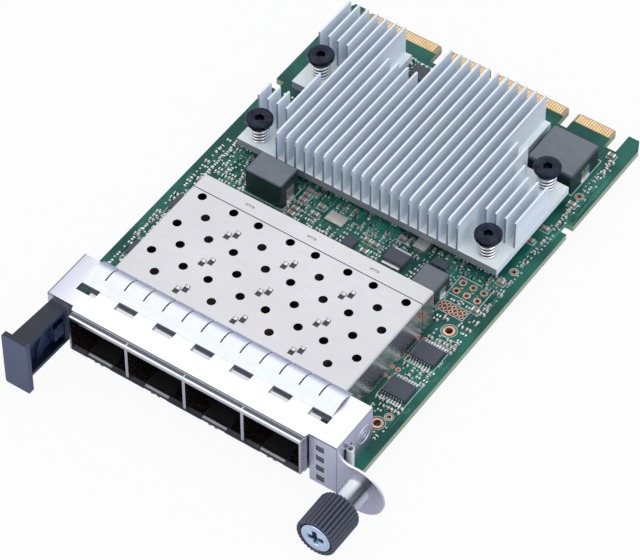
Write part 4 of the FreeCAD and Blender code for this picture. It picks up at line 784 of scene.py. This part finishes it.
@piece("tin")
def bare_pads(shape):
    """Pads that carry no part, and the solder round the ends of those that do."""
    for spot in tiny_parts["pads"]:
        add_slabs(shape, split(*spot, 0.66)[::2], *PRINT)
    for x, y, half_width, half_length in tiny_parts["capacitor"] + tiny_parts["resistor"]:
        pads = split(x, y, half_width + 0.1, half_length + 0.1, 0.55)[::2]
        add_slabs(shape, pads, BOARD_TOP, PRINT[1] + 0.03)


@piece("tin")
def chip_end_caps(shape):
    """Tinned ends on the larger chip capacitors and resistors, a hair proud of them."""
    proud = 0.03
    for node, share in (("ceramic_capacitors", 0.42), ("chip_resistors", 0.4)):
        for low, high in islands(node):
            ends = split((low.x + high.x) / 2, (low.y + high.y) / 2,
                         (high.x - low.x) / 2 + proud, (high.y - low.y) / 2 + proud, share)[::2]
            add_slabs(shape, ends, BOARD_TOP, high.z + proud)


@piece("copper_mask")
def board_tracks(shape):
    """Bundles of lacquered tracks with 45 degree bends across the open strips."""
    track_random = random.Random(5)
    for left, front, right, rear in ZONES:
        for _ in range(int((right - left) * (rear - front) / 9)):
            x = track_random.uniform(left, right)
            y = track_random.uniform(front, rear)
            reach = track_random.uniform(2.0, 6.5)
            bend = track_random.choice((-1, 1)) * track_random.uniform(0.5, 1.6)
            for lane in range(track_random.randint(1, 4)):
                start = x + lane * 0.32
                corner = y + reach + abs(bend)
                points = [(start, y), (start, y + reach), (start + bend, corner),
                          (start + bend, corner + 1.2)]
                if track_random.random() < 0.3:
                    points = points[:2]
                if all(left - 1 < px < right + 0.8 and front - 1 < py < rear + 1
                       for px, py in points):
                    add_track(shape, points, 0.16, *COPPER)


@piece("tin")
def board_vias(shape):
    for x, y in scatter(random.Random(3), (1.25, 1.1), 0.55):
        if is_free(x, y, 0.2, 0.2, 0.05):
            add_ring(shape, x, y, 0.1, 0.22, COPPER[0], PRINT[1], sides=10)


@piece("ink")
def printed_outlines(shape):
    """Component outlines and pin-one dots. Places that carry lettering are left bare."""
    chips = islands("buffer_chips")
    outlines = [(low.x - 0.55, low.y - 1.35, high.x + 0.55, high.y + 1.35)
                for low, high in chips]
    for name in INDUCTORS:
        low, high = box_of(name)
        outlines.append((low.x - 0.5, low.y - 0.5, high.x + 0.5, high.y + 0.5))
    for x, y, pitch, columns, rows in (HEADER, PROBES):
        edge = pitch * 0.42 + 0.35
        outlines.append((x - edge, y - edge, x + pitch * (columns - 1) + edge,
                         y + pitch * (rows - 1) + edge))
    for left, front, right, rear in outlines:
        add_frame(shape, max(left, BOARD_LEFT + 0.3), front, min(right, BOARD_RIGHT - 0.3),
                  rear, 0.14, *PRINT)
    for low, high in chips:
        add_disc(shape, low.x - 0.1, low.y - 1.75, 0.2, *PRINT)
    for low, high in islands("ceramic_capacitors"):
        add_frame(shape, low.x - 0.3, low.y - 0.3, high.x + 0.3, high.y + 0.3, 0.12, *PRINT)
    for inset, y, radius in SINGLE_HOLES:
        add_ring(shape, BOARD_RIGHT - inset, y, radius * 1.5, radius * 1.5 + 0.12, *PRINT)
    add_slabs(shape, [(BOARD_RIGHT - 6.4, y, BOARD_RIGHT - 2.6, y + 0.13)
                      for y in (-57.8, -58.9, -60.0)], *PRINT)


# Chips and inductors: formed leads, pin-one dimples and soldered terminals

LEAD_SHEET = 0.13
LEAD_HALF = 0.14
PAD_HALF = 0.19


@piece("tin", replaces="chip_leads")
def formed_leads(shape):
    """Gull-wing leads, one for each CAD lead, bent from the chip's side to its pad."""
    chips = islands("buffer_chips")
    foot = BOARD_TOP + 0.12 - LEAD_SHEET / 2
    for low, high in islands("chip_leads"):
        x, y = (low.x + high.x) / 2, (low.y + high.y) / 2
        chip_low, chip_high = min(
            chips, key=lambda pair: ((pair[0] + pair[1]) / 2 - Vector((x, y, 2))).length)
        away = 1 if y > (chip_low.y + chip_high.y) / 2 else -1
        root, tip = (chip_high.y, high.y) if away > 0 else (chip_low.y, low.y)
        shoulder = (chip_low.z + chip_high.z) / 2 - LEAD_SHEET / 2
        knee = root + (tip - root) * 0.35
        ankle = root + (tip - root) * 0.55
        add_bar(shape, x - LEAD_HALF, x + LEAD_HALF, LEAD_SHEET,
                ((root - 0.1 * away, shoulder), (knee, shoulder), (ankle, foot), (tip, foot)))
        near, far = sorted((ankle, tip + 0.55 * away))
        add_slabs(shape, [(x - PAD_HALF, near, x + PAD_HALF, far)], BOARD_TOP, BOARD_TOP + 0.06)


@piece("resistor")
def pin_one_dimples(shape):
    """Shallow moulded rings that mark the first pin."""
    marks = [(*chip, 0.7, 0.26, 0.34, 20) for chip in islands("buffer_chips")]
    marks += [(*box_of("small_controller"), 0.45, 0.12, 0.18, 16),
              (*box_of("regulator_chip"), 0.5, 0.14, 0.2, 16)]
    for low, high, inset, inner, outer, sides in marks:
        add_ring(shape, low.x + inset, low.y + inset, inner, outer, high.z, high.z + 0.012, sides)


@piece("tin")
def inductor_terminals(shape):
    """Terminals up both sides of each inductor, and the solder they stand in."""
    for name, (width, reach) in INDUCTORS.items():
        low, high = box_of(name)
        middle = (low.y + high.y) / 2
        height = BOARD_TOP + (high.z - BOARD_TOP) * 0.55
        for edge, out in ((low.x, -1), (high.x, 1)):
            for start, stop, half, top in ((-0.02, 0.12, width / 2, height),
                                           (0.0, reach, width / 2 + 0.1, BOARD_TOP + 0.1)):
                near, far = sorted((edge + start * out, edge + stop * out))
                add_slabs(shape, [(near, middle - half, far, middle + half)], BOARD_TOP, top)


# Heatsink screws and their springs in round wire

SINK_SCREWS = [((low.x + high.x) / 2, (low.y + high.y) / 2)
               for low, high in islands("heatsink_screws")]
SPRING_LOW = box_of("heatsink_springs")[0]
SPRING_RADIUS = 1.9
SPRING_WIRE = 0.5
SINK_HEAD_RADIUS = 3.0
SINK_HEAD_TOP = box_of("heatsink_screws")[1].z + 0.75
SINK_HEAD_LOW = SINK_HEAD_TOP - 1.2
SINK_NECK_LOW = SINK_HEAD_LOW - 0.9
HEX_REACH = 0.95


def hexagon(reach):
    """The radius of a hexagon at each turn, from the middle of a side."""
    return lambda turn: reach / math.cos(turn % (math.pi / 3) - math.pi / 6)


@piece("black_screw", replaces="heatsink_screws")
def shouldered_screws(shape):
    """Black screws with a rounded disc head, a flared neck and a hexagonal socket."""
    outline = ((1.0, 0.1), (1.0, SINK_NECK_LOW), (2.35, SINK_NECK_LOW),
               (2.2, SINK_HEAD_LOW - 0.1), (SINK_HEAD_RADIUS - 0.15, SINK_HEAD_LOW),
               (SINK_HEAD_RADIUS, SINK_HEAD_LOW + 0.2),
               (SINK_HEAD_RADIUS, SINK_HEAD_TOP - 0.35),
               (SINK_HEAD_RADIUS - 0.12, SINK_HEAD_TOP - 0.12),
               (SINK_HEAD_RADIUS - 0.4, SINK_HEAD_TOP),
               (1.7, SINK_HEAD_TOP - 0.05), (1.5, SINK_HEAD_TOP - 0.14),
               (hexagon(HEX_REACH), SINK_HEAD_TOP - 0.16),
               (hexagon(HEX_REACH * 0.9), SINK_HEAD_TOP - 1.0))
    for x, y in SINK_SCREWS:
        add_rings(shape, [loop_points((x, y, z), radius, 48) for radius, z in outline],
                  closed=False)


@piece("bright_spring", smooth=True, replaces="heatsink_springs")
def round_wire_springs(shape):
    for x, y in SINK_SCREWS:
        add_coil(shape, Matrix.Translation((x, y, SPRING_LOW.z)), SPRING_RADIUS, SPRING_WIRE,
                 SINK_NECK_LOW - SPRING_LOW.z, 5.2)


# Bracket: pressed dimples on the side wings, and the light pipes behind its right end

DIMPLE_PLACE = (-91.6, 6.97)
LIGHT_PITCH = 3.08
FIRST_LIGHT = 0.12


@piece("bracket", smooth=True)
def wing_dimples(shape):
    """A shallow ring and a smaller one inside it, pressed out of each wing."""
    for side in (-1, 1):
        wing = side * abs(BRACKET_LOW.x)
        for radius, depth in ((2.15, 0.09), (0.75, 0.06)):
            section = ((-0.28, 0.0), (-0.14, depth), (0.0, depth * 1.2), (0.14, depth),
                       (0.28, 0.0), (0.0, -0.05))
            add_rings(shape, [loop_points((wing + out * side, *DIMPLE_PLACE), radius + offset,
                                          36, BACK, UP) for offset, out in section])


@piece("dark_lens")
def light_pipe_ends(shape):
    """The tips of the light pipes, set a little back in the four holes, and dark with painted
    shade.
    """
    low, high = box_of("light_guide")
    across = (low.x + high.x) / 2
    plan = (across - 0.8, BRACKET_FACE + 0.12, across + 0.8, BRACKET_FACE + 0.34)
    for i in range(4):
        height = FIRST_LIGHT + LIGHT_PITCH * i
        add_slabs(shape, [plan], height - 0.62, height + 0.62)


# Cage: catch tongues in the rear cover, the sprung strip with its hooks, and the latches

CATCH_PITCH = 15.53
CATCH_PLACE = CAGE_HIGH.y - 2.1


@piece("cage")
def catch_tongues(shape):
    add_slabs(shape, [(x - 0.82, CATCH_PLACE - 0.2, x + 0.82, CATCH_PLACE + 0.1)
                      for x in (-CATCH_PITCH, 0.0, CATCH_PITCH)],
              CAGE_HIGH.z - 0.12, CAGE_HIGH.z)


STRIP_LOW, STRIP_HIGH = box_of("finger_strip")
STRIP_SHEET = 0.2
STRIP_FRONT = BRACKET_FACE + 5.9
STRIP_REAR = BRACKET_HIGH.y + 0.8
STRIP_RISE = 1.1
FINGER_COUNT = 13
FIRST_FINGER = 3.9
SLIT = 0.35
SLIT_FRONT = BRACKET_FACE + 8.4


def strip_height(y):
    """Underside of the strip: flat in front, a hump over the flange, down to the cage."""
    share = (y - STRIP_FRONT) / (STRIP_REAR - STRIP_FRONT)
    fall = (BRACKET_HIGH.z - CAGE_HIGH.z) * share ** 2
    return BRACKET_HIGH.z - fall + STRIP_RISE * math.sin(math.pi * share ** 1.4)


def add_strip(shape, left, right, front, rear, steps):
    run = [front + (rear - front) * i / steps for i in range(steps + 1)]
    add_bar(shape, left, right, STRIP_SHEET, [(y, strip_height(y)) for y in run])


@piece("fingers", replaces="finger_strip")
def sprung_fingers(shape):
    """One root band along the windows and thirteen fingers that reach back to the cage."""
    add_strip(shape, STRIP_LOW.x, STRIP_HIGH.x, STRIP_FRONT, SLIT_FRONT, 10)
    pitch = (STRIP_HIGH.x - STRIP_LOW.x - FIRST_FINGER) / (FINGER_COUNT - 1)
    slits = [STRIP_LOW.x + FIRST_FINGER + pitch * i for i in range(FINGER_COUNT - 1)]
    slits = [STRIP_LOW.x - SLIT / 2, *slits, STRIP_HIGH.x + SLIT / 2]
    for left, right in zip(slits, slits[1:]):
        add_strip(shape, left + SLIT / 2, right - SLIT / 2, SLIT_FRONT, STRIP_REAR, 14)


WINDOWS = [BRACKET_LOW.x + 6.6 + 9.5 * i for i in range(7)]
HOOK_HALF = 2.1


# Hooks drawn in painted shade.
@piece("shade")
def window_hooks(shape):
    """The strip's hooks, bent down through the rear of each window in the flange."""
    add_slabs(shape, [(x - HOOK_HALF, STRIP_FRONT - 0.25, x + HOOK_HALF, STRIP_FRONT - 0.05)
                      for x in WINDOWS],
              CAGE_HIGH.z + 0.02, BRACKET_HIGH.z + STRIP_SHEET + 0.02)


@piece("shade")
def hook_slots(shape):
    """The slots in the cage's top that the hooks enter, as dark slabs of painted shade."""
    add_slabs(shape, [(max(x - HOOK_HALF, CAGE_LOW.x), STRIP_FRONT - 0.85, x + HOOK_HALF,
                       STRIP_FRONT - 0.25) for x in WINDOWS],
              CAGE_HIGH.z - 0.1, CAGE_HIGH.z + 0.015)


PORT_PITCH = 14.25
PORTS = [(i - 1.5) * PORT_PITCH for i in range(4)]
LATCH_HALF = 2.9
LATCH_TAB_PLACE = 0.75
LATCH_TAB_HALF = 0.35
LATCH_TOP = BOARD_TOP + 0.65
LATCH_REAR = box_of("port_latches")[1].y


@piece("latch", replaces="port_latches")
def latch_tongues(shape):
    """A flat tongue with a rounded nose under each port."""
    profile = ((PORT_FRONT - 0.05, LATCH_TOP - 0.18), (PORT_FRONT + 0.1, LATCH_TOP),
               (PORT_FRONT + 1.2, LATCH_TOP), (PORT_FRONT + 1.8, LATCH_TOP - 0.08),
               (LATCH_REAR, LATCH_TOP - 0.08), (LATCH_REAR, LATCH_TOP - 0.32),
               (PORT_FRONT + 1.8, LATCH_TOP - 0.32), (PORT_FRONT + 0.1, LATCH_TOP - 0.28))
    for x in PORTS:
        add_rings(shape, [[(side, y, z) for y, z in profile]
                          for side in (x - LATCH_HALF, x + LATCH_HALF)], closed=False)


# Tabs drawn in painted shade.
@piece("shade")
def latch_tabs(shape):
    """The small tabs bent down at the nose of each latch, and the bar between them."""
    for x in PORTS:
        tabs = (x - LATCH_TAB_PLACE, x + LATCH_TAB_PLACE)
        add_slabs(shape, [(tab - LATCH_TAB_HALF, PORT_FRONT, tab + LATCH_TAB_HALF,
                           PORT_FRONT + 0.2) for tab in tabs], BOARD_TOP - 0.05, BOARD_TOP + 0.4)
        half = LATCH_HALF - 0.3
        add_slabs(shape, [(x - half, PORT_FRONT + 0.02, x + half, PORT_FRONT + 0.2)],
                  BOARD_TOP + 0.25, BOARD_TOP + 0.42)


@piece("shade")
def frame_gap(shape):
    """The shaded step between the flange's lip and the ports' frame, in four lengths."""
    half = PORT_PITCH / 2 - 0.15
    add_slabs(shape, [(x - half, PORT_FRONT + 0.4, x + half, PORT_FRONT + 1.05) for x in PORTS],
              CAGE_HIGH.z - 0.1, CAGE_HIGH.z + 0.02)


LANCE = 1.05
LANCE_PITCH = 8.84
LANCES = [(column * PORT_PITCH + 0.4 + side * 0.68 * LANCE,
           SHELL_HIGH.y - 6.9 - LANCE_PITCH * row + side * 0.6 * LANCE)
          for column in (-1, 0, 1) for row in range(3) for side in (-1, 1)]


@piece("opening")
def lance_mouths(shape):
    """The openings that the lanced tongues leave in the cage's top, as dark slabs of painted
    shade.
    """
    half = LANCE * 0.6
    add_slabs(shape, [(x - half, y - half, x + half, y + half) for x, y in LANCES],
              CAGE_HIGH.z - 0.05, CAGE_HIGH.z + 0.012)


@piece("cage", smooth=True)
def lance_loops(shape):
    """The tongues themselves, arched up from the rear of each opening."""
    section = [(side * LANCE * 0.42, reach)
               for side, reach in ((-1, 0.34), (1, 0.34), (1, 0.44), (-1, 0.44))]
    turns = [math.pi * i / 8 for i in range(9)]
    for x, y in LANCES:
        add_rings(shape, [[(x + side, y + LANCE * 0.85 - reach * math.cos(turn),
                            CAGE_HIGH.z + reach * math.sin(turn)) for side, reach in section]
                          for turn in turns], closed=False)


# Floor lip drawn in painted shade.
@piece("shade")
def floor_lip(shape):
    """The front of the cage's floor, notched for the latches, out to the ports' frame."""
    left, right = CAGE_LOW.x + 0.3, CAGE_HIGH.x - 0.3
    outline = [(right, BOARD_LOW.y), (left, BOARD_LOW.y), (left, PORT_FRONT)]
    for x in PORTS:
        outline += [(x - LATCH_HALF, PORT_FRONT), (x - LATCH_HALF, PORT_FRONT + 0.1),
                    (x + LATCH_HALF, PORT_FRONT + 0.1), (x + LATCH_HALF, PORT_FRONT)]
    add_prism(shape, [*outline, (right, PORT_FRONT)], BOARD_TOP + 0.1, BOARD_TOP + 0.28)


# Thumbscrew: polished collar, screw with its cross recess, and the rolled thread


@piece("nickel", smooth=True, replaces="thumbscrew_collar")
def polished_collar(shape):
    rear, seat, lip = BRACKET_FACE + 0.5, 2.3, COLLAR_RADIUS + 0.2
    profile = ((COLLAR_BORE, rear), (seat, rear), (seat, BRACKET_FACE), (lip, BRACKET_FACE),
               (lip, BRACKET_FACE - 0.2), (COLLAR_RADIUS, BRACKET_FACE - 0.3),
               (COLLAR_RADIUS, COLLAR_END + 0.1), (COLLAR_RADIUS - 0.1, COLLAR_END),
               (COLLAR_RADIUS - 0.4, COLLAR_END), (COLLAR_RADIUS - 0.4, BRACKET_FACE - 0.5),
               (COLLAR_BORE, BRACKET_FACE - 0.5))
    add_rings(shape, screw_loops(profile, 48))


def cross(scale):
    """The radius of the cross recess at each turn."""
    def reach(turn):
        across, up = abs(math.cos(turn - CROSS_TURN)), abs(math.sin(turn - CROSS_TURN))
        return scale * max(min(CROSS_REACH / across, CROSS_HALF / up),
                           min(CROSS_REACH / up, CROSS_HALF / across))
    return reach


@piece("screw_zinc", "thumbscrew",replaces="thumbscrew_screw")
def cross_head_screw(shape):
    """Threaded tip, plain shank and a flat head whose cross recess narrows inwards."""
    outline = ((THREAD_RADIUS - 0.5, THREAD_TIP), (THREAD_RADIUS, THREAD_TIP - 0.5),
               (THREAD_RADIUS, THREAD_FRONT + 0.4), (SHANK_RADIUS, THREAD_FRONT),
               (SHANK_RADIUS, HEAD_REAR), (HEAD_RADIUS - 0.4, HEAD_REAR),
               (HEAD_RADIUS - 0.4, HEAD_FRONT + 0.3), (HEAD_RADIUS, HEAD_FRONT + 0.25),
               (HEAD_RADIUS, HEAD_FRONT + 0.1), (HEAD_RADIUS - 0.1, HEAD_FRONT))
    recess = ((cross(1.0), HEAD_FRONT), (cross(0.6), HEAD_FRONT + CROSS_DEPTH))
    add_rings(shape, screw_loops(outline, 96) + screw_loops(recess, 96, 0.5), closed=False)


def ribs(radius):
    """The radius of a ribbed round bar at each turn."""
    return lambda turn: radius - RIB_DEPTH * (1 - abs(math.sin(turn * KNOB_RIBS / 2)))


@piece("knob", body="thumbscrew", replaces="thumbscrew_knob")
def ribbed_knob(shape):
    """A moulded knob with round ribs, bored at the rear for the collar and at the front
    for the screw's head, which it holds."""
    head, shank, collar = HEAD_RADIUS + 0.05, SHANK_RADIUS + 0.05, COLLAR_RADIUS + 0.25
    profile = ((ribs(KNOB_RADIUS - 0.9), KNOB_REAR), (ribs(KNOB_RADIUS - 0.3), KNOB_REAR - 0.3),
               (ribs(KNOB_RADIUS), KNOB_REAR - 0.9), (ribs(KNOB_RADIUS), KNOB_FRONT + 0.35),
               (ribs(KNOB_RADIUS - 0.3), KNOB_FRONT), (HEAD_RADIUS + 0.5, KNOB_FRONT),
               (HEAD_RADIUS + 0.35, KNOB_FRONT + 0.12), (head, KNOB_FRONT + 0.5),
               (head, HEAD_REAR), (shank, HEAD_REAR), (shank, WASHER_FRONT),
               (collar, WASHER_FRONT), (collar, KNOB_REAR))
    add_rings(shape, screw_loops(profile, KNOB_RIBS * 8))


@piece("spring", smooth=True, replaces="thumbscrew_spring")
def return_spring(shape):
    """The spring between the collar's seat and the washer, hidden while the screw is out."""
    low, high = box_of("thumbscrew_spring")
    place = Matrix.Translation((SCREW_AXIS[0], high.y, SCREW_AXIS[1]))
    place = place @ Matrix.Rotation(math.pi / 2, 4, "X")
    add_coil(shape, place, (high.x - low.x - RETURN_WIRE) / 2, RETURN_WIRE, high.y - low.y, 6.0)


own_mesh(return_spring)

THREAD_PITCH = 0.5
THREAD_STEPS = 24


@piece("blue_zinc", body="thumbscrew")
def rolled_thread(shape):
    x, z = SCREW_AXIS
    start = THREAD_TIP - 0.5
    flank = Vector((0, 0.2, 0))
    loops = []
    for i in range(int((start - THREAD_FRONT - 0.6) / THREAD_PITCH * THREAD_STEPS) + 1):
        turn = 2 * math.pi * i / THREAD_STEPS
        out = Vector((math.cos(turn), 0, math.sin(turn)))
        base = Vector((x, start - THREAD_PITCH * i / THREAD_STEPS, z))
        root = base + out * (THREAD_RADIUS - 0.06)
        loops.append([root + flank, base + out * (THREAD_RADIUS + 0.09), root - flank])
    add_rings(shape, loops, closed=False)


# Ports: contact rows in the sockets


@piece("gold")
def socket_contacts(shape):
    for low, high in islands("port_connectors"):
        middle = (low.x + high.x) / 2
        rows = [(x - 0.15, low.y + 0.4, x + 0.15, low.y + 4.6)
                for x in (middle + (i - 4.5) * 0.8 for i in range(10))]
        for level in (high.z - 3.45, high.z - 2.1):
            add_slabs(shape, rows, level, level + 0.14)


# Stage, light and camera

WHITE = (1.0, 1.0, 1.0, 1.0)
FLOOR_TONE = (0.82, 0.83, 0.92, 1.0)
AMBIENT_TONE = (0.93, 0.95, 1.0, 1.0)
AMBIENT = 0.62
FLOOR_SEEN = 0.93
FLOOR_REACH = 3.0


def empty_tree(owner):
    """The node tree of a material or a world, with nothing in it."""
    owner.use_nodes = True
    owner.node_tree.nodes.clear()
    return owner.node_tree


def floor_material():
    """Nearly white to the camera, and matt to everything else."""
    made = bpy.data.materials.new("floor_white")
    tree = empty_tree(made)
    rays = add_node(tree, "LightPath").outputs
    share = add_node(tree, "Math", {0: rays["Is Camera Ray"], 1: FLOOR_SEEN},
                     operation="MULTIPLY")
    matt = add_node(tree, "BsdfDiffuse", {"Color": FLOOR_TONE})
    glow = add_node(tree, "Emission", {"Color": WHITE})
    mix = add_node(tree, "MixShader", {0: share.outputs[0], 1: matt.outputs[0],
                                       2: glow.outputs[0]})
    add_node(tree, "OutputMaterial", {0: mix.outputs[0]})
    return made


def draw_floor():
    corners = [(x * FLOOR_REACH, y * FLOOR_REACH, cad_low.z)
               for x, y in ((-1, -1), (1, -1), (1, 1), (-1, 1))]
    mesh = bpy.data.meshes.new("floor")
    mesh.from_pydata(corners, [], [(0, 1, 2, 3)])
    mesh.materials.append(floor_material())
    add_object("floor", mesh)


def make_world():
    """Soft light on matt surfaces, and white behind the object and in its reflections."""
    world = bpy.data.worlds.new("studio")
    bpy.context.scene.world = world
    tree = empty_tree(world)
    rays = add_node(tree, "LightPath").outputs
    seen = rays["Is Camera Ray"]
    for ray in ("Is Glossy Ray", "Is Transmission Ray"):
        seen = add_node(tree, "Math", {0: seen, 1: rays[ray]}, operation="MAXIMUM").outputs[0]
    soft = add_node(tree, "Background", {"Color": AMBIENT_TONE, "Strength": AMBIENT})
    white = add_node(tree, "Background", {"Color": WHITE})
    mix = add_node(tree, "MixShader", {0: seen, 1: soft.outputs[0], 2: white.outputs[0]})
    add_node(tree, "OutputWorld", {0: mix.outputs[0]})


def aim(made, place, direction, roll=0.0):
    """Put a lamp or the camera in its place and turn it to look along a direction."""
    made.location = place
    made.rotation_mode = "QUATERNION"
    turn = direction.to_track_quat("-Z", "Y")
    made.rotation_quaternion = turn @ Matrix.Rotation(roll, 4, "Z").to_quaternion()


def area_light(name, place, size, power, colour):
    """A square lamp that looks at the middle of the card, with places in metres."""
    light = bpy.data.lights.new(name, "AREA")
    light.shape = "SQUARE"
    light.size = size
    light.energy = power
    light.color = colour
    aim(add_object(name, light), place, LAMP_TARGET - Vector(place))


LAMP_TARGET = Vector((0, -0.05, 0))
CAMERA_PLACE = Vector((0.27351, -0.44901, 0.55051))
VIEW_DIRECTION = Vector((-0.37323, 0.53683, -0.75664))
CAMERA_ROLL = math.radians(-0.18)
FOCAL_PIXELS = 3509.4
IMAGE_WIDTH = 640
SENSOR = 36.0


def make_camera():
    lens = bpy.data.cameras.new("camera")
    lens.sensor_width = SENSOR
    lens.lens = FOCAL_PIXELS * SENSOR / IMAGE_WIDTH
    camera = add_object("camera", lens)
    aim(camera, CAMERA_PLACE, VIEW_DIRECTION, CAMERA_ROLL)
    bpy.context.scene.camera = camera


draw_floor()
make_world()
area_light("overhead", (-0.35, 0.45, 0.95), 1.3, 1.5, (0.97, 0.98, 1.0))
area_light("side", (0.9, -0.25, 0.8), 0.9, 4.6, (0.95, 0.97, 1.0))
area_light("front", (-0.3, -1.0, 0.6), 0.8, 2.4, (0.95, 0.96, 1.0))
make_camera()
bpy.context.scene.view_settings.view_transform = "Standard"
